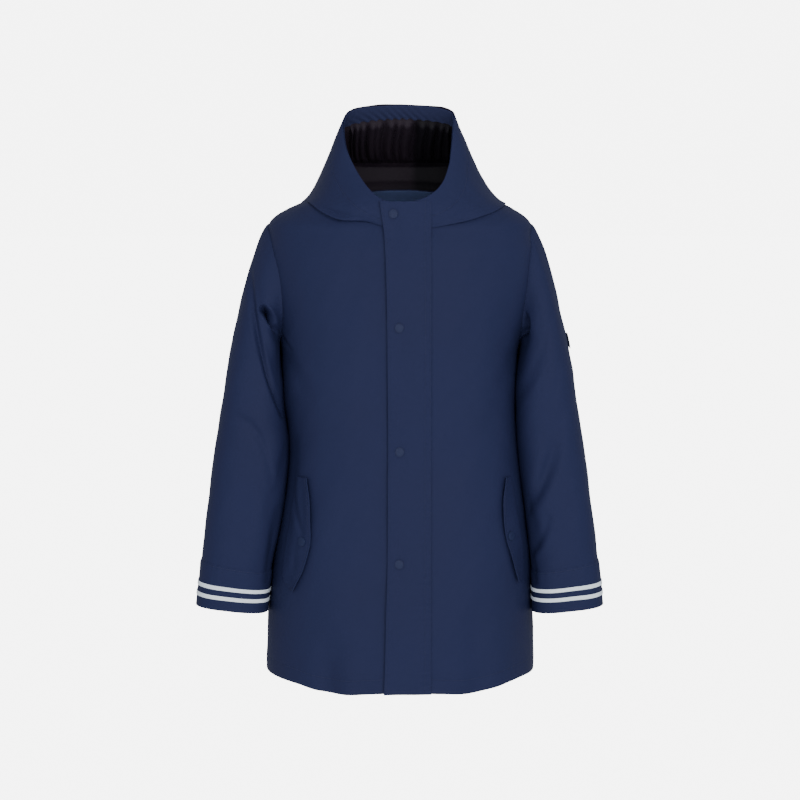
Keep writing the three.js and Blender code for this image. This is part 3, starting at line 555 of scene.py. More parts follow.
def hood_point(side, turn, run):
    """A point of the hood, run being the share of its curve's length."""
    turn, run, side = np.broadcast_arrays(turn, run, side)
    turn, run = turn.astype(float), run.astype(float)
    row = {name: look_up(HOOD, name, turn, "turn") for name in HOOD}
    foot_at = (side * turn, hood_foot(side * turn))
    controls = (
        points(side * np.where(side > 0, row["left"], row["right"]), row["edgeY"], row["edgeZ"]),
        points(side * row["firstX"], row["firstY"], row["firstZ"]),
        points(side * row["lastX"], row["lastY"], row["lastZ"]),
        trunk(*foot_at) + FOOT_GAP * trunk_normal(*foot_at),
    )

    def curve(t):
        a, b, c, d = (control[..., None, :] for control in controls)
        t = t[..., None]
        return a * (1 - t) ** 3 + 3 * b * t * (1 - t) ** 2 + 3 * c * t * t * (1 - t) + d * t**3

    samples = curve(np.broadcast_to(steps(CURVE_SAMPLES), turn.shape + (CURVE_SAMPLES + 1,)))
    pieces = np.linalg.norm(np.diff(samples, axis=-2), axis=-1)
    length = np.concatenate([np.zeros(turn.shape + (1,)), np.cumsum(pieces, -1)], -1)
    wanted = run[..., None] * length[..., -1:]
    i = np.clip((length <= wanted).sum(-1, keepdims=True) - 1, 0, CURVE_SAMPLES - 1)
    low, high = np.take_along_axis(length, i, -1), np.take_along_axis(length, i + 1, -1)
    t = (i + (wanted - low) / np.maximum(high - low, 1e-9)) / CURVE_SAMPLES
    return curve(t)[..., 0, :]


def hood_normal(side, turn, run):
    turn = np.clip(turn, HOOD_STEP[0], 180 - HOOD_STEP[0])
    run = np.clip(run, HOOD_STEP[1], 1 - HOOD_STEP[1])
    normal = normal_of(lambda t, r: hood_point(side, t, r), turn, run, *HOOD_STEP)
    return -np.asarray(side)[..., None] * normal


def hood_turn(share, run):
    """Degrees of a place across the side panel (0 to 1) and the centre panel (1 to 2)."""
    seam = lerp(HOOD_SEAM["edge"], HOOD_SEAM["foot"], run)
    return np.where(share <= 1, seam * share, lerp(seam, 180, share - 1))


# Meshes
def mesh_object(name, vertices, faces):
    mesh = bpy.data.meshes.new(name)
    mesh.from_pydata((np.asarray(vertices) * MM).tolist(), [], faces)
    mesh.update()
    made = bpy.data.objects.new(name, mesh)
    bpy.context.scene.collection.objects.link(made)
    mesh.polygons.foreach_set("use_smooth", [True] * len(mesh.polygons))
    return made


def deselect_all():
    for other in bpy.context.selected_objects:
        other.select_set(False)


def apply(piece, kind, **settings):
    """Adds a modifier and applies it, as by hand."""
    deselect_all()
    bpy.context.view_layer.objects.active = piece
    piece.select_set(True)
    modifier = piece.modifiers.new(kind.lower(), kind)
    for key, value in settings.items():
        setattr(modifier, key, value)
    bpy.ops.object.modifier_apply(modifier=modifier.name)


def grid_faces(rows, columns, round_it=False):
    i = np.arange(rows - 1)[:, None]
    j = np.arange(columns if round_it else columns - 1)[None]
    right = (j + 1) % columns
    corners = [i * columns + j, i * columns + right, (i + 1) * columns + right, (i + 1) * columns + j]
    return np.stack(np.broadcast_arrays(*corners), -1).reshape(-1, 4)


def sheet_mesh(name, grid, normals, thick, finish, inside=None, round_it=False):
    """Cloth of a given thickness whose outer face is a grid of points."""
    rows, columns = grid.shape[:2]
    faces = grid_faces(rows, columns, round_it)
    a, b, c = (grid.reshape(-1, 3)[faces[:, k]] for k in range(3))
    outward = np.einsum("ij,ij->i", np.cross(b - a, c - a), normals.reshape(-1, 3)[faces[:, 0]]).sum()
    if outward < 0:
        faces = faces[:, ::-1]
    piece = mesh_object(name, grid.reshape(-1, 3), faces.tolist())
    piece.data.materials.append(finish)
    piece.data.materials.append(inside or finish)
    apply(piece, "SOLIDIFY", thickness=thick * MM, offset=-1, material_offset=1)
    sharp = math.radians(60)
    apply(piece, "BEVEL", width=SOFT_EDGE * MM, segments=2, limit_method="ANGLE", angle_limit=sharp)
    return piece


def grid_normals(grid, outwards):
    """Normals worked out from a grid's own points, turned to the side that another normal is on."""
    down, across = np.gradient(grid, axis=0), np.gradient(grid, axis=1)
    normal = unit(np.cross(across, down))
    flip = np.sign(np.einsum("ijk,ijk->ij", normal, outwards))[..., None]
    return normal * np.where(flip == 0, 1, flip)


# Seams and stitching
SEAM_DIP = {"depth": 0.25, "width": 1.5}
PUCKER = {"height": 0.28, "reach": 9.0, "pitch": 8.3, "drift": 47.0, "wander": 1.9, "swell": 19.0}
HEM_STITCH = 20.0
CHANNEL = {"depth": 0.35, "width": 1.6}
THREAD_SIZE = {"pitch": 3.1, "length": 2.3, "radius": 0.3, "proud": 0.1, "sunk": 0.25}
# Rings of a stitch: place along its half length, and share of its radius
STITCH_RINGS = ((-1.0, 0.25), (-0.7, 0.9), (0.7, 0.9), (1.0, 0.25))
STITCH_SIDES = 5


def from_edge(grid, edge):
    """A grid turned so that its rows run along an edge, and its columns lead away from it."""
    turned = {
        "left": grid,
        "right": grid[:, ::-1],
        "low": np.swapaxes(grid, 0, 1),
        "high": np.swapaxes(grid[::-1], 0, 1),
    }
    return turned[edge]


def run_along(rows):
    """Lengths along each row of a grid, from its start."""
    pieces = np.linalg.norm(np.diff(rows, axis=1), axis=-1)
    return np.concatenate([np.zeros((len(rows), 1)), np.cumsum(pieces, 1)], 1)


def distances(grid, edge):
    """How far each point of a grid is from an edge, and how far along it, as the grid lies."""
    turned = from_edge(grid, edge)
    away = run_along(turned)
    along = run_along(np.swapaxes(turned[:, :1], 0, 1)).T + 0 * away
    if edge == "right":
        return away[:, ::-1], along[:, ::-1]
    if edge == "low":
        return away.T, along.T
    if edge == "high":
        return away.T[::-1], along.T[::-1]
    return away, along


def puckers(away, along, shift=0.0):
    wander = PUCKER["wander"] * np.sin(2 * np.pi * along / PUCKER["drift"] + shift)
    swell = 0.7 + 0.3 * np.sin(along / PUCKER["swell"] + shift)
    wave = np.sin(2 * np.pi * along / PUCKER["pitch"] + wander) * swell
    return PUCKER["height"] * wave * np.exp(-away / PUCKER["reach"])


def seamed(grid, normals, *edges):
    """Draws the cloth down into the seams along its edges, and puckers it beside them."""
    rise = np.zeros(grid.shape[:2])
    for i, edge in enumerate(edges):
        away, along = distances(grid, edge)
        dip = SEAM_DIP["depth"] * np.exp(-((away / SEAM_DIP["width"]) ** 2))
        rise += puckers(away, along, 2.1 * i) - dip
    return grid + normals * rise[..., None]


def channelled(grid, normals, edge, distance):
    """Presses the shallow channel of a row of stitches into the cloth, with its puckers."""
    away, along = distances(grid, edge)
    off = np.abs(away - distance)
    rise = puckers(off, along, 0.7) - CHANNEL["depth"] * np.exp(-((off / CHANNEL["width"]) ** 2))
    return grid + normals * rise[..., None]


def inset(grid, normals, edge, distance):
    """The line at a distance in from an edge, with the normals on it."""
    turned = from_edge(grid, edge)
    away = run_along(turned)

    def read(rows):
        places = [[np.interp(distance, a, row[:, k]) for k in range(3)] for a, row in zip(away, rows)]
        return np.array(places)

    return read(turned), unit(read(from_edge(normals, edge)))


def stitches(line, up):
    """Points and faces of one row of stitches along a line, short of its two ends."""
    run = run_along(line[None])[0]
    at = np.arange(THREAD_SIZE["pitch"], run[-1], THREAD_SIZE["pitch"])

    def read(values, where):
        return np.stack([np.interp(where, run, values[:, k]) for k in range(3)], -1)

    half = THREAD_SIZE["length"] / 2
    middle, along = read(line, at), unit(read(line, at + half) - read(line, at - half))
    lift = unit(read(up, at))
    across = np.cross(lift, along)
    turn = 2 * np.pi * np.arange(STITCH_SIDES) / STITCH_SIDES
    rings = []
    for place, size in STITCH_RINGS:
        radius = size * THREAD_SIZE["radius"]
        height = THREAD_SIZE["proud"] - THREAD_SIZE["sunk"] * place**4
        centre = middle + along * half * place + lift * height
        ring = np.cos(turn)[:, None, None] * across + np.sin(turn)[:, None, None] * lift
        rings.append(centre[None] + radius * ring)
    vertices = np.stack(rings).transpose(2, 0, 1, 3).reshape(-1, 3)
    size = len(STITCH_RINGS) * STITCH_SIDES
    faces = []
    for ring in range(len(STITCH_RINGS) - 1):
        for k in range(STITCH_SIDES):
            low, after = ring * STITCH_SIDES, (k + 1) % STITCH_SIDES
            high = low + STITCH_SIDES
            faces.append((low + k, high + k, high + after, low + after))
    caps = (tuple(range(STITCH_SIDES)), tuple(reversed(range(size - STITCH_SIDES, size))))
    return vertices, [[i * size + v for v in face] for i in range(len(at)) for face in (*faces, *caps)]


def sewn(name, rows):
    """One piece of all the stitches of some rows."""
    vertices, faces, count = [], [], 0
    for row in rows:
        made, joined = stitches(*row)
        vertices.append(made)
        faces += [[v + count for v in face] for face in joined]
        count += len(made)
    piece = mesh_object(name, np.concatenate(vertices), faces)
    piece.data.materials.append(THREAD)
    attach(piece, "root")


# Finishes
class Link:
    """A node's output. Plain sums on it add the Math nodes that work them out."""

    def __init__(self, finish, socket):
        self.finish, self.socket = finish, socket

    def math(self, operation, *values):
        return self.finish.add("ShaderNodeMath", {"operation": operation}, dict(enumerate(values)))

    def __add__(self, other):
        return self.math("ADD", self, other)

    def __mul__(self, other):
        return self.math("MULTIPLY", self, other)

    def __sub__(self, other):
        return self.math("SUBTRACT", self, other)

    def __rsub__(self, other):
        return self.math("SUBTRACT", other, self)

    __radd__, __rmul__ = __add__, __mul__


class Finish:
    """A material and the nodes that give it its look."""

    def __init__(self, name, **fixed):
        self.material = bpy.data.materials.new(name)
        self.material.use_nodes = True
        self.tree = self.material.node_tree
        self.surface = self.tree.nodes["Principled BSDF"]
        for key, value in fixed.items():
            self.surface.inputs[key.replace("_", " ")].default_value = value
        place = self.tree.nodes.new("ShaderNodeTexCoord")
        self.place = Link(self, place.outputs["Object"])

    def add(self, kind, settings=None, sockets=None, output=0):
        node = self.tree.nodes.new(kind)
        for key, value in (settings or {}).items():
            setattr(node, key, value)
        for key, value in (sockets or {}).items():
            if isinstance(value, Link):
                self.tree.links.new(value.socket, node.inputs[key])
            else:
                node.inputs[key].default_value = value
        return Link(self, node.outputs[output])

    def noise(self, scale, detail=2.0):
        sockets = {"Vector": self.place, "Scale": scale, "Detail": detail}
        return self.add("ShaderNodeTexNoise", {}, sockets)

    def cells(self, scale):
        return self.add("ShaderNodeTexVoronoi", {}, {"Vector": self.place, "Scale": scale})

    def blend(self, share, first, second):
        sockets = {0: share, 6: first, 7: second}
        return self.add("ShaderNodeMix", {"data_type": "RGBA"}, sockets, output=2)

    def bump(self, height, distance):
        return self.add("ShaderNodeBump", {}, {"Height": height, "Distance": distance})

    def wear(self, **links):
        for key, value in links.items():
            self.tree.links.new(value.socket, self.surface.inputs[key.replace("_", " ")])
        return self.material


def colour(red, green, blue):
    return (red, green, blue, 1.0)


def coated_cloth(name, dark, light):
    """Matt coated shell cloth, with a very fine grain and a faint crinkle."""
    finish = Finish(name, Specular_IOR_Level=0.13)
    patches = finish.noise(7.0)
    crinkle = finish.noise(55.0, detail=3.0)
    grain = finish.cells(1500.0)
    height = crinkle * 0.8 + grain * 0.08
    return finish.wear(
        Base_Color=finish.blend(patches, colour(*dark), colour(*light)),
        Roughness=patches * 0.12 + 0.64,
        Normal=finish.bump(height, 0.0006),
    )


def inner_cloth():
    """Thin smooth lining, near black."""
    finish = Finish("inner_cloth", Specular_IOR_Level=0.3)
    slack = finish.noise(26.0, detail=3.0)
    grain = finish.noise(1800.0)
    shade = finish.blend(slack, colour(0.010, 0.006, 0.016), colour(0.026, 0.018, 0.028))
    return finish.wear(
        Base_Color=shade,
        Roughness=slack * 0.15 + 0.55,
        Normal=finish.bump(slack * 0.7 + grain * 0.05, 0.0008),
    )


def hood_lining_cloth():
    """The same lining inside the hood, with painted shade: near black towards the wearer's left, where the
    hood's inner wall lies in shade.
    """
    finish = Finish("hood_lining_cloth", Specular_IOR_Level=0.2)
    slack = finish.noise(26.0, detail=3.0)
    # Painted shade: from X of about 22 mm towards the wearer's left, the lining's colour is blended into
    # near black.
    across = finish.add("ShaderNodeSeparateXYZ", {}, {"Vector": finish.place})
    place = across + slack * 0.016 - 0.022
    painted_shade_mask = finish.add("ShaderNodeMath", {"operation": "MULTIPLY", "use_clamp": True}, {0: place, 1: 90.0})
    lining_colour = finish.blend(slack, colour(0.011, 0.007, 0.014), colour(0.022, 0.015, 0.023))
    return finish.wear(
        # The near-black colour here is painted shade.
        Base_Color=finish.blend(painted_shade_mask, lining_colour, colour(0.0035, 0.0025, 0.0055)),
        Roughness=slack * 0.15 + 0.6,
        Normal=finish.bump(slack, 0.0006),
    )


def reflective_tape():
    finish = Finish("reflective_tape", Specular_IOR_Level=0.5)
    beads = finish.cells(2600.0)
    wash = finish.noise(30.0)
    shade = finish.blend(wash, colour(0.78, 0.89, 1.0), colour(0.88, 0.96, 1.0))
    return finish.wear(
        Base_Color=shade,
        Roughness=wash * 0.1 + 0.38,
        Normal=finish.bump(beads, 0.0001),
    )


def snap_finish():
    finish = Finish("snap_lacquer", Specular_IOR_Level=0.2)
    wash = finish.noise(300.0)
    shade = finish.blend(wash, colour(0.0105, 0.0155, 0.050), colour(0.0125, 0.0190, 0.060))
    return finish.wear(Base_Color=shade, Roughness=wash * 0.1 + 0.52, Normal=finish.bump(wash, 0.00005))


def patch_finish():
    finish = Finish("patch_rubber", Specular_IOR_Level=0.4)
    ribs = finish.noise(900.0)
    shade = finish.blend(ribs, colour(0.008, 0.011, 0.028), colour(0.011, 0.016, 0.040))
    return finish.wear(Base_Color=shade, Roughness=ribs * 0.15 + 0.45, Normal=finish.bump(ribs, 0.0001))


def thread_finish():
    finish = Finish("thread", Specular_IOR_Level=0.3)
    twist = finish.noise(1500.0)
    shade = finish.blend(twist, colour(0.0105, 0.0150, 0.046), colour(0.0145, 0.0210, 0.064))
    return finish.wear(Base_Color=shade, Roughness=twist * 0.2 + 0.55, Normal=finish.bump(twist, 0.0001))


SHELL = coated_cloth("coated_cloth", (0.0122, 0.0160, 0.0510), (0.0144, 0.0190, 0.0600))
# Painted light: the hood facing's inner face is coloured up to twice as light as the shell cloth, standing
# in for light inside the hood.
FACING_CLOTH_PAINTED_LIGHT = coated_cloth("facing_cloth", (0.0230, 0.0280, 0.0740), (0.0270, 0.0330, 0.0870))
# Painted light: the neck facing's inner face is coloured several times lighter than the shell cloth,
# standing in for light that does not reach it inside the neck.
NECK_CLOTH_PAINTED_LIGHT = coated_cloth("neck_cloth_painted_light", (0.0600, 0.0860, 0.1950), (0.0700, 0.1000, 0.2250))
LINING = inner_cloth()
# Painted shade: this lining finish is near black towards the wearer's left.
HOOD_LINING_PAINTED_SHADE = hood_lining_cloth()
TAPE_FINISH = reflective_tape()
SNAP = snap_finish()
PATCH = patch_finish()
THREAD = thread_finish()


# Cloth pieces
PANEL_ROWS = {"skirt": 174, "armhole": 72, "shoulder": 16}
FRONT_COLUMNS = 72
BACK_COLUMNS = 56
NECK_FACING = {"rows": 26, "free_columns": 40}  # rows down from the neck, columns free at each side


def settle(piece, node):
    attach(piece, "root")
    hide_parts(node)


def front_panel(name):
    def centre(z):
        return degrees_at(placket_x(z, FRONT_SPLIT), z)

    degrees, z = panel_places(SIDES[name], "front", centre, PANEL_ROWS, FRONT_COLUMNS)
    grid, normals = trunk(degrees, z), trunk_normal(degrees, z)
    grid = seamed(grid, normals, "right")
    grid = channelled(grid, normals, "low", HEM_STITCH)
    piece = sheet_mesh(f"front_{name}_cloth", grid, normals, CLOTH, SHELL, LINING)
    settle(piece, f"front_{name}")
    return inset(grid, normals, "low", HEM_STITCH)


def back_panel():
    right, left = (
        panel_places(side, "back", lambda z: np.full(z.shape, side * 180.0), PANEL_ROWS, BACK_COLUMNS)
        for side in SIDES.values()
    )
    degrees, z = (np.concatenate([a[:, ::-1], b[:, 1:]], axis=1) for a, b in zip(right, left))
    grid, normals = trunk(degrees, z), trunk_normal(degrees, z)
    grid = seamed(grid, normals, "left", "right")
    grid = channelled(grid, normals, "low", HEM_STITCH)
    piece = sheet_mesh("back_cloth", grid, normals, CLOTH, SHELL, LINING)
    settle(piece, "back")
    neck_facing(grid, normals)
    return inset(grid, normals, "low", HEM_STITCH)


def neck_facing(grid, normals):
    free = NECK_FACING["free_columns"]
    cut = (slice(-NECK_FACING["rows"], None), slice(free, -free))
    inner = grid[cut] - normals[cut] * (CLOTH + SEAM)
    # The facing's inner face wears the neck colour that is lightened as painted light.
    piece = sheet_mesh("neck_facing_cloth", inner, normals[cut], LINER, SHELL, NECK_CLOTH_PAINTED_LIGHT)
    settle(piece, "neck_facing")


SLEEVE_ROUNDS = 144
SLEEVE_CAP_ROWS = 84
SLEEVE_TUBE_ROWS = 124
TUCKS = ((1.05, 2.6), (1.0, 2.1))  # the seam allowance under the panels: growth and depth
CUFF = {"rows": 40, "drawn_in": 1.4, "drawn_over": 3.0}
CUFF_STITCHES = (3.0,)
STRIPE_ROWS = 6
STRIPE_LOOSE = 0.1


def all_round():
    return np.linspace(0, 360, SLEEVE_ROUNDS, endpoint=False)[None]


def closed(values):
    """A round grid with its first column again at its end."""
    return np.concatenate([values, values[:, :1]], axis=1)


def sleeve_piece(name):
    rounds = all_round()
    down = np.concatenate([steps(SLEEVE_CAP_ROWS), 1 + steps(SLEEVE_TUBE_ROWS)[1:]])[:, None]
    grid = sleeve(name, rounds, down)
    normals = sleeve_normal(name, lambda r, l: sleeve(name, r, l), rounds, down)
    grid = seamed(grid, normals, "low")
    allowance = []
    for growth, depth in TUCKS:
        spot = armhole_spot(name, rounds[0], growth)
        allowance.append((trunk(*spot) - depth * trunk_normal(*spot))[None])
    grid = np.concatenate([*allowance, grid])
    normals = np.concatenate([normals[:1], normals[:1], normals])
    piece = sheet_mesh(f"sleeve_{name}_cloth", grid, normals, CLOTH, SHELL, LINING, round_it=True)
    settle(piece, f"sleeve_{name}")


def sleeve_band(name, from_cuff_end, over, skewed=0):
    """A closed band round the sleeve, its outer face standing over the sleeve's."""
    rounds = all_round()
    skew = STRIPE_SKEW[name] * (1 - np.cos(np.radians(rounds))) / 2 * skewed
    down = from_end(from_cuff_end[:, None] + skew)
    normals = sleeve_normal(name, lambda r, l: sleeve(name, r, l), rounds, down)
    return sleeve(name, rounds, down) + normals * np.asarray(over)[..., None], normals


def cuff(name):
    away = np.linspace(CUFF_HEIGHT, 0, CUFF["rows"])
    drawn = CUFF["drawn_in"] * np.exp(-(((CUFF_HEIGHT - away) / CUFF["drawn_over"]) ** 2))
    grid, normals = sleeve_band(name, away, (SEAM + CLOTH - drawn)[:, None])
    for distance in CUFF_STITCHES:
        grid = channelled(closed(grid), closed(normals), "low", distance)[:, :-1]
    piece = sheet_mesh(f"cuff_{name}_cloth", grid, normals, CLOTH, SHELL, round_it=True)
    settle(piece, f"cuff_{name}")
    for i, middle in enumerate(STRIPES_FROM_END, 1):
        band = np.linspace(middle + STRIPE_WIDTH / 2, middle - STRIPE_WIDTH / 2, STRIPE_ROWS)
        tape, up = sleeve_band(name, band, SEAM + CLOTH + TAPE + STRIPE_LOOSE, skewed=1)
        piece = sheet_mesh(f"tape_{i}_{name}", tape, up, TAPE, TAPE_FINISH, round_it=True)
        settle(piece, f"stripe_{i}_{name}")
    return [inset(closed(grid), closed(normals), "low", distance) for distance in CUFF_STITCHES]


HOOD_ROWS = 84
HOOD_SIDE_COLUMNS = 96
HOOD_CENTRE_COLUMNS = 64
ROLL = {"all_round": 0.2, "turn": 27.0, "spread": 17.0, "height": 1.5, "width": 6.5}
ROLL_BESIDE_PLACKET = {-1: 8.5, 1: 1.4}
FACING = {"rows": 20, "columns": 260, "side": 0.212, "top": 0.135, "from": 108.0}
FACING_WAVES = {"pitch": 12.0, "height": 0.7, "slant": 0.8, "wander": 1.6}
FACING_WAVES |= {"drift": 21.0, "reach": 16.0, "swell": 33.0}
LINING_GRID = {"rows": 84, "columns": 216, "tucked": 0.01, "end": 0.93}
CURTAIN = {"from": 0.64, "share": (0.55, 1.0)}  # where the lining leaves the hood and hangs straight
GATHERS = {"seam": 62.0, "depth": 6.5, "fade": 14.0, "sag": 2.5, "top": 0.05, "hem": 0.1, "least": -0.4}
GATHER_SEAM = {"depth": 1.6, "width": 2.2}
GATHER_DRIFT = {"share": 0.03, "length": 13.0}
GATHER_PLACES = table(
    "place width depth",
    (-0.90, 0.05, 1.0),
    (-0.76, 0.04, 0.7),
    (-0.60, 0.05, 1.1),
    (-0.44, 0.03, 0.5),
    (-0.29, 0.07, 1.2),
    (-0.10, 0.04, 0.9),
    (0.02, 0.04, 0.7),
    (0.24, 0.08, 1.3),
    (0.46, 0.05, 0.8),
    (0.66, 0.06, 1.1),
    (0.84, 0.05, 0.7),
)


def hood_columns(first, last, count):
    """Sides and shares of the columns between two places, counted 0 to 4 from right to left."""
    place = np.linspace(first, last, count + 1)
    return np.where(place <= 2, -1, 1)[None], np.where(place <= 2, place, 4 - place)[None]


def hood_sheet(first, last, count, runs, depth=0.0):
    side, share = hood_columns(first, last, count)
    turn = hood_turn(share, runs)
    side = np.broadcast_to(side, turn.shape)
    grid = hood_point(side, turn, runs)
    normals = hood_normal(side, turn, runs)
    normals[np.isclose(turn, 180), 0] = 0  # square to the middle line, where the two halves meet
    normals = unit(normals)
    return grid - normals * np.asarray(depth)[..., None], normals


def foot_roll(side, turn, away):
    """The hood's cloth rolls over the neck seam, most of all beside the placket."""
    beside = np.where(side < 0, *ROLL_BESIDE_PLACKET.values())
    beside = beside * np.exp(-(((turn - ROLL["turn"]) / ROLL["spread"]) ** 2)) * smoothstep(turn, 10, 26)
    return (ROLL["all_round"] + beside) * np.exp(-(((away - ROLL["height"]) / ROLL["width"]) ** 2))


def facing_run(turn):
    """How far the facing runs in from the hood's edge: less over the middle of the head."""
    return FACING["side"] - (FACING["side"] - FACING["top"]) * smoothstep(turn, FACING["from"], 180)


def hood_panels():
    runs = steps(HOOD_ROWS)[:, None]
    rows = []
    for node, first, last, count, seams in (
        ("hood_side_right", 0, 1, HOOD_SIDE_COLUMNS, ("right",)),
        ("hood_centre", 1, 3, HOOD_CENTRE_COLUMNS, ("left", "right")),
        ("hood_side_left", 3, 4, HOOD_SIDE_COLUMNS, ("left",)),
    ):
        grid, normals = hood_sheet(first, last, count, runs)
        grid = grid - normals * fold_depth("hood", grid, normals)[..., None]
        side, share = hood_columns(first, last, count)
        away, _ = distances(grid, "high")
        grid = grid + normals * foot_roll(side, hood_turn(share, runs), away)[..., None]
        grid = seamed(grid, normals, *seams)
        grid = channelled(grid, normals, "low", FACING_WIDTH)
        piece = sheet_mesh(f"{node}_cloth", grid, normals, CLOTH, SHELL, LINING)
        settle(piece, node)
        rows.append(inset(grid, normals, "low", FACING_WIDTH))
    return rows


def hood_facing():
    """The turned-in band, with slanting ripples that fade from its sewn edge."""
    columns, ripple = FACING["columns"], FACING_WAVES
    _, share = hood_columns(0, 4, columns)
    band = steps(FACING["rows"])[:, None] * facing_run(hood_turn(share, FACING["side"]))
    grid, normals = hood_sheet(0, 4, columns, band, CLOTH + LOOSE)
    away, along = distances(grid, "high")
    slant = 2 * np.pi * (along + ripple["slant"] * away) / ripple["pitch"]
    slant = slant + ripple["wander"] * np.sin(along / ripple["drift"])
    fade = np.exp(-away / ripple["reach"]) * (0.7 + 0.5 * np.sin(along / ripple["swell"]))
    grid = grid + normals * (ripple["height"] * np.sin(slant) * fade)[..., None]
    # The facing's inner face wears the colour that is lightened as painted light.
    piece = sheet_mesh("hood_facing_cloth", grid, normals, LINER, SHELL, FACING_CLOTH_PAINTED_LIGHT)
    settle(piece, "hood_facing")


def hood_lining():
    """The lining hangs slack, gathered above a seam across the back of the head."""
    columns, end = LINING_GRID["columns"], LINING_GRID["end"]
    side, share = hood_columns(0, 4, columns)
    start = facing_run(hood_turn(share, FACING["side"])) - LINING_GRID["tucked"]
    body = lerp(start, end, steps(LINING_GRID["rows"])[:, None])
    grid, normals = hood_sheet(0, 4, columns, body, CLOTH + LOOSE)
    hung_from, _ = hood_sheet(0, 4, columns, np.array([[CURTAIN["from"]]]), CLOTH + LOOSE)
    down = np.clip((body - CURTAIN["from"]) / (end - CURTAIN["from"]), 0, 1)
    hangs = smoothstep(share, *CURTAIN["share"]) * (down > 0)
    grid = lerp(grid, lerp(hung_from, grid[-1:], down[..., None]), hangs[..., None])
    on_centre = share > 1
    place = np.where(side < 0, -1, 1) * (1 - np.maximum(share - 1, 0))
    above = grid[..., 2] - GATHERS["seam"]
    drift = GATHER_DRIFT["share"] * np.sin(above / GATHER_DRIFT["length"]) * np.sign(above)
    wave = sum(
        depth * np.exp(-(((place + drift - at) / width) ** 2))
        for at, width, depth in zip(*GATHER_PLACES.values())
    )
    fade = smoothstep(above, -GATHERS["fade"] / 4, GATHERS["fade"]) * on_centre
    hem = smoothstep(end - body, 0, GATHERS["hem"])
    top = smoothstep(body - start, 0, GATHERS["top"])
    seam = GATHER_SEAM["depth"] * np.exp(-((above / GATHER_SEAM["width"]) ** 2)) * on_centre
    slack = GATHERS["sag"] * smoothstep(share, 0.6, 1.1) * hem * top
    depth = slack + GATHERS["depth"] * fade * (1 - wave) * top - seam
    grid = grid - normals * np.maximum(depth, GATHERS["least"])[..., None]
    # The hood lining wears the finish with painted shade on the wearer's left.
    piece = sheet_mesh("hood_lining_cloth", grid, normals, LINER, HOOD_LINING_PAINTED_SHADE)
    settle(piece, "hood_lining")


# The hood's place at a given X and height is found by small corrections from a first guess.
CORRECTIONS = 8
SMALL_TURN = 0.5
SMALL_RUN = 0.02
FIRST_TURN = 1 / 3  # degrees for each millimetre from the centre front
LAST_RUN = 0.98


def hood_front(x, z):
    """Points and normals of the hood at given X and heights near the centre front."""
    side = np.where(x < 0, -1, 1)
    turn, run = np.abs(x) * FIRST_TURN, np.full(x.shape, 0.5)
    for _ in range(CORRECTIONS):
        at = hood_point(side, turn, run)
        by_turn = (hood_point(side, turn + SMALL_TURN, run) - at) / SMALL_TURN
        by_run = (hood_point(side, turn, run + SMALL_RUN) - at) / SMALL_RUN
        miss_x, miss_z = x - at[..., 0], z - at[..., 2]
        area = by_turn[..., 0] * by_run[..., 2] - by_turn[..., 2] * by_run[..., 0]
        turn = np.maximum(turn + (miss_x * by_run[..., 2] - miss_z * by_run[..., 0]) / area, 0)
        run = np.clip(run + (by_turn[..., 0] * miss_z - by_turn[..., 2] * miss_x) / area, 0, LAST_RUN)
    return hood_point(side, turn, run), hood_normal(side, turn, run)


def placket_surface(x, z):
    """What the placket lies on: the fronts, and above them the front of the hood's foot."""
    degrees = degrees_at(x, z)
    grid, normals = trunk(degrees, z), trunk_normal(degrees, z)
    upper = z[:, 0] > COLLAR_FROM - COLLAR_TURN
    on_hood, hood_normals = hood_front(x[upper], z[upper])
    share = smoothstep(z[upper], COLLAR_FROM - COLLAR_TURN, COLLAR_FROM)[..., None]
    grid[upper] = lerp(grid[upper], on_hood, share)
    normals[upper] = unit(lerp(normals[upper], hood_normals, share))
    return grid, normals


def evened(grid, spread):
    """A grid whose rows are averaged with their neighbours, so that a bend becomes a soft one."""
    reach = 3 * spread
    weights = np.exp(-0.5 * (np.arange(-reach, reach + 1) / spread) ** 2)
    before = 2 * grid[:1] - grid[reach:0:-1]
    after = 2 * grid[-1:] - grid[-2 : -2 - reach : -1]
    padded = np.concatenate([before, grid, after])
    return sum(w * padded[i : i + len(grid)] for i, w in enumerate(weights / weights.sum()))


PLACKET_GRID = {"rows": 320, "columns": 34, "evened": 5}
PLACKET_LIFT = {"edge": 3.4, "reach": 0.3, "held": 0.45, "wave": 0.5, "length": 31.0}
SNAP_PINCH = {"depth": 0.9, "spread": 38.0, "width": 9.0}
PLACKET_STITCHES = (("left", 2.5), ("right", 2.0), ("right", 9.0))


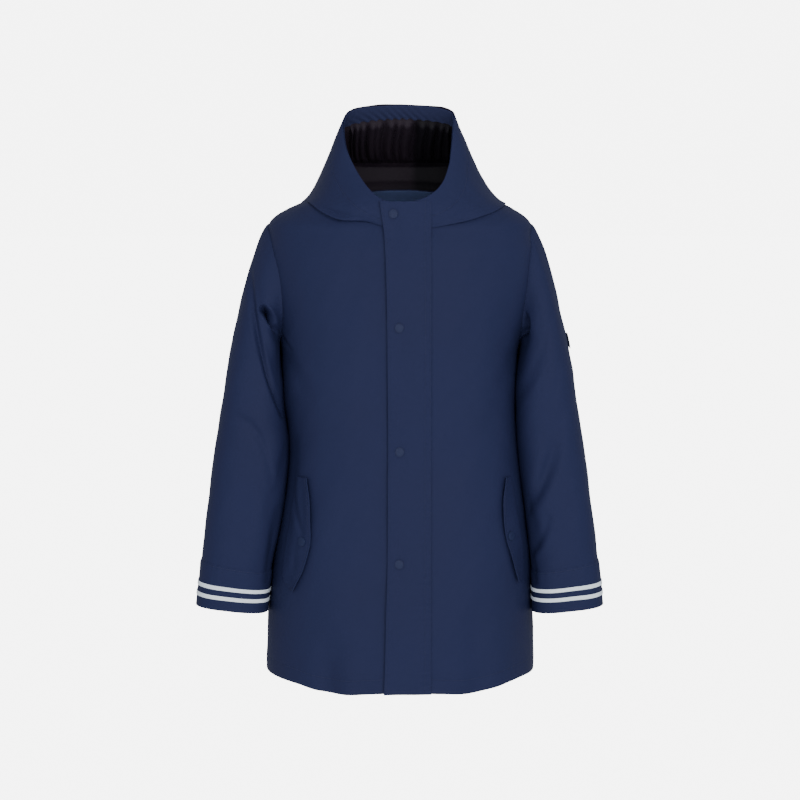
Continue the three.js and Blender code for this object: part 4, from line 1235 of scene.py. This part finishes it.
def placket():
    """The placket is sewn along its left edge and snapped along its free right one."""
    loose = PLACKET_LIFT
    share = steps(PLACKET_GRID["columns"])[None]
    z = lerp(HEM_HEIGHT, PLACKET_TOP, steps(PLACKET_GRID["rows"]))[:, None] * np.ones_like(share)
    grid, normals = placket_surface(placket_x(z, share), z)
    grid = evened(grid, PLACKET_GRID["evened"])
    normals = unit(evened(normals, PLACKET_GRID["evened"]))
    pinch = sum(np.exp(-(((z - at) / SNAP_PINCH["spread"]) ** 2)) for at in SNAP_HEIGHTS)
    free = np.clip(1 - share / loose["reach"], 0, 1) ** 2
    wave = loose["wave"] * np.sin(z / loose["length"])
    lift = free * (loose["edge"] * (1 - loose["held"] * pinch) + wave)
    inwards = placket_x(z, share) - placket_x(z, 0)
    near_snap = np.exp(-(((inwards - SNAP_INSET) / SNAP_PINCH["width"]) ** 2))
    dent = SNAP_PINCH["depth"] * pinch * near_snap
    grid = grid + normals * (SEAM + CLOTH + lift - dent)[..., None]
    grid = seamed(grid, normals, "right")
    for edge, distance in PLACKET_STITCHES:
        grid = channelled(grid, normals, edge, distance)
    piece = sheet_mesh("placket_cloth", grid, normals, CLOTH, SHELL)
    settle(piece, "placket")
    for i, height in enumerate(SNAP_HEIGHTS, 1):
        row = np.abs(z[:, 0] - height).argmin()
        column = np.abs(inwards[row] - SNAP_INSET).argmin()
        press_snap(f"snap_{i}", grid[row, column], normals[row, column])
    return [inset(grid, normals, edge, distance) for edge, distance in PLACKET_STITCHES]


FLAP_GRID = {"rows": 70, "columns": 22}
FLAP_PINCH = {"share": 0.5, "length": 0.14, "width": 0.4}
FLAP_WAVE = {"height": 0.4, "length": 17.0}


def flap(name):
    """A flap, sewn along its outer edge, that stands off the coat towards its free one."""
    rows, columns = FLAP_GRID["rows"], FLAP_GRID["columns"]
    down, u = steps(rows)[:, None], steps(columns)[None]
    outline = FLAP[name]
    z = lerp(outline["z"][0], outline["z"][-1], down) + 0 * u
    x = lerp(look_up(outline, "free", z), look_up(outline, "sewn", z), u)
    degrees = degrees_at(x, z)
    normals = trunk_normal(degrees, z)
    off_row = (down - FLAP_SNAP["row"]) / FLAP_PINCH["length"]
    off_column = (u - FLAP_SNAP["column"]) / FLAP_PINCH["width"]
    pinch = FLAP_PINCH["share"] * np.exp(-(off_row**2) - off_column**2)
    lift = FLAP_LIFT[name] * (1 - u) ** 2 * (1 - pinch)
    lift = lift + FLAP_WAVE["height"] * np.sin(z / FLAP_WAVE["length"]) * (1 - u)
    grid = trunk(degrees, z)
    grid = grid + normals * (LOOSE + CLOTH + lift - creases("flap_" + name, grid, normals))[..., None]
    grid = seamed(grid, normals, "right")
    grid = channelled(grid, normals, "left", FLAP_STITCH)
    piece = sheet_mesh(f"pocket_flap_{name}_cloth", grid, normals, CLOTH, SHELL)
    settle(piece, f"pocket_flap_{name}")
    at = round(rows * FLAP_SNAP["row"]), round(columns * FLAP_SNAP["column"])
    press_snap(f"pocket_snap_{name}", grid[at], grid_normals(grid, normals)[at])
    return inset(grid, normals, "left", FLAP_STITCH)


# Snaps
CAP_SIZE = {"radius": 6.2, "height": 2.0, "edge": 0.5, "sides": 48, "sunk": 0.2}
# Insets of the cap's top, from the rim inwards over a groove to the crown: width and rise
CAP_INSETS = ((1.3, 0), (0.25, -0.35), (0.25, 0), (0.3, 0.35), (1.2, 0.25), (1.2, 0.1))


def choose(mesh, test):
    """Selects, in edit mode, only the faces that pass a test."""
    edited = bmesh.from_edit_mesh(mesh)
    for face in edited.faces:
        face.select_set(bool(test(face)))
    edited.select_flush_mode()
    bmesh.update_edit_mesh(mesh)


def snap_cap():
    """A pressed cap with a rounded edge, a flat rim, a groove and a crowned middle."""
    deselect_all()
    height = CAP_SIZE["height"] * MM
    bpy.ops.mesh.primitive_cylinder_add(
        vertices=CAP_SIZE["sides"],
        radius=CAP_SIZE["radius"] * MM,
        depth=height,
        location=(0, 0, height / 2),
    )
    cap = bpy.context.object
    bpy.ops.object.transform_apply(location=True)
    bpy.ops.object.mode_set(mode="EDIT")

    def on_top(face):
        return face.normal.z > 0.9 and face.calc_center_median().z > 0.9 * height

    choose(cap.data, on_top)
    bpy.ops.mesh.bevel(offset=CAP_SIZE["edge"] * MM, segments=3, affect="EDGES")
    choose(cap.data, lambda face: on_top(face) and face.calc_center_median().length < 1.2 * height)
    for width, rise in CAP_INSETS:
        bpy.ops.mesh.inset(thickness=width * MM, depth=rise * MM)
    bpy.ops.object.mode_set(mode="OBJECT")
    bpy.ops.object.shade_smooth_by_angle(angle=math.radians(40))
    cap.data.materials.append(SNAP)
    return cap


def press_snap(node, point, normal):
    """A copy of the cap, set on the cloth."""
    piece = bpy.data.objects.new(f"{node}_cap", MODEL_CAP.data.copy())
    bpy.context.scene.collection.objects.link(piece)
    turn = Vector(normal).to_track_quat("Z", "Y").to_matrix().to_4x4()
    turn.translation = Vector((point - CAP_SIZE["sunk"] * normal) * MM)
    piece.data.transform(turn)
    settle(piece, node)


BADGE_GRID = {"rows": 20, "columns": 26}
BADGE_CHANNEL = {"depth": 0.4, "from_edge": 1.8, "width": 0.7}
CAP_SAMPLES = 400


def badge():
    """A plain patch, sewn on the outer side of the left sleeve."""
    rows, columns = steps(BADGE_GRID["rows"])[:, None], steps(BADGE_GRID["columns"])[None]
    lengths = np.linspace(0, 1, CAP_SAMPLES)
    heights = sleeve_form("left", np.zeros(CAP_SAMPLES), lengths)[:, 2]
    down = np.interp(-(BADGE["z"] + BADGE["height"] * (0.5 - rows)), -heights, lengths)
    sweep = np.degrees(BADGE["width"] / 2 / BADGE["radius"])
    rounds = 360 + sweep * (2 * columns - 1)
    normals = sleeve_normal("left", lambda r, l: sleeve("left", r, l), rounds, down)
    grid = sleeve("left", rounds, down) + normals * (LOOSE + BADGE["thick"])
    away = np.min([distances(grid, edge)[0] for edge in ("left", "right", "low", "high")], axis=0)
    off = (away - BADGE_CHANNEL["from_edge"]) / BADGE_CHANNEL["width"]
    grid = grid - normals * (BADGE_CHANNEL["depth"] * np.exp(-(off**2)))[..., None]
    piece = sheet_mesh("sleeve_patch", grid, normals, BADGE["thick"], PATCH)
    settle(piece, "sleeve_badge")


# The raincoat
MODEL_CAP = snap_cap()
hem_rows = [front_panel(name) for name in SIDES] + [back_panel()]
for name in SIDES:
    sleeve_piece(name)
sewn("hem_stitches", hem_rows)
sewn("cuff_stitches", [row for name in SIDES for row in cuff(name)])
sewn("flap_stitches", [flap(name) for name in SIDES])
sewn("hood_edge_stitches", hood_panels())
hood_facing()
hood_lining()
sewn("placket_stitches", placket())
badge()
bpy.data.objects.remove(MODEL_CAP)


# Floor, light and camera
BACKDROP = {"radius": 30.0, "glow": 6.3, "floor": -1.02}
SKY_LIGHT = {"tint": (0.94, 0.95, 1.0), "strength": 0.72}
LAMPS_POINT_AT = (0, 0, -0.27)
# Soft square lamps: name, place, size in metres and watts
LAMPS = (
    ("key", (1.5, -2.6, 1.7), 1.0, 30.0),
    ("fill", (1.1, -3.2, -0.1), 1.4, 20.0),
    ("front", (-1.0, -3.2, 0.2), 1.4, 28.0),
    ("bounce", (0.2, -2.2, -1.6), 2.0, 12.0),
)
SENSOR_WIDTH = 36.0


def backdrop():
    """A plain pale floor that runs into a plain pale sky, both seen but casting no light."""
    finish = Finish("studio_paper")
    finish.surface.inputs["Base Color"].default_value = colour(0, 0, 0)
    finish.surface.inputs["Emission Color"].default_value = colour(1, 1, 1)
    finish.surface.inputs["Emission Strength"].default_value = BACKDROP["glow"]
    bpy.ops.mesh.primitive_uv_sphere_add(segments=48, ring_count=24, radius=BACKDROP["radius"])
    sky = bpy.context.object
    sky.name = "studio_sky"
    bpy.ops.mesh.primitive_plane_add(size=2 * BACKDROP["radius"], location=(0, 0, BACKDROP["floor"]))
    floor = bpy.context.object
    floor.name = "studio_floor"
    for stage in (sky, floor):
        stage.data.materials.append(finish.material)
        stage.visible_diffuse = stage.visible_glossy = stage.visible_shadow = False


def studio():
    backdrop()
    world = bpy.data.worlds.new("studio")
    world.use_nodes = True
    sky = world.node_tree.nodes["Background"].inputs
    sky["Color"].default_value = colour(*SKY_LIGHT["tint"])
    sky["Strength"].default_value = SKY_LIGHT["strength"]
    bpy.context.scene.world = world
    for lamp_name, place, size, energy in LAMPS:
        light = bpy.data.lights.new(lamp_name, "AREA")
        light.size, light.energy = size, energy
        lamp = bpy.data.objects.new(lamp_name, light)
        lamp.location = place
        towards = Vector(LAMPS_POINT_AT) - lamp.location
        lamp.rotation_euler = towards.to_track_quat("-Z", "Y").to_euler()
        bpy.context.scene.collection.objects.link(lamp)


def camera():
    data = bpy.data.cameras.new("camera")
    data.lens, data.sensor_width = CAMERA["lens"], SENSOR_WIDTH
    eye = bpy.data.objects.new("camera", data)
    tilt = math.radians(CAMERA["elevation"])
    forwards = Vector((0, math.cos(tilt), -math.sin(tilt)))
    eye.location = Vector(CAMERA["target"]) - forwards * CAMERA["distance"]
    eye.rotation_euler = forwards.to_track_quat("-Z", "Y").to_euler()
    bpy.context.scene.collection.objects.link(eye)
    bpy.context.scene.camera = eye


studio()
camera()
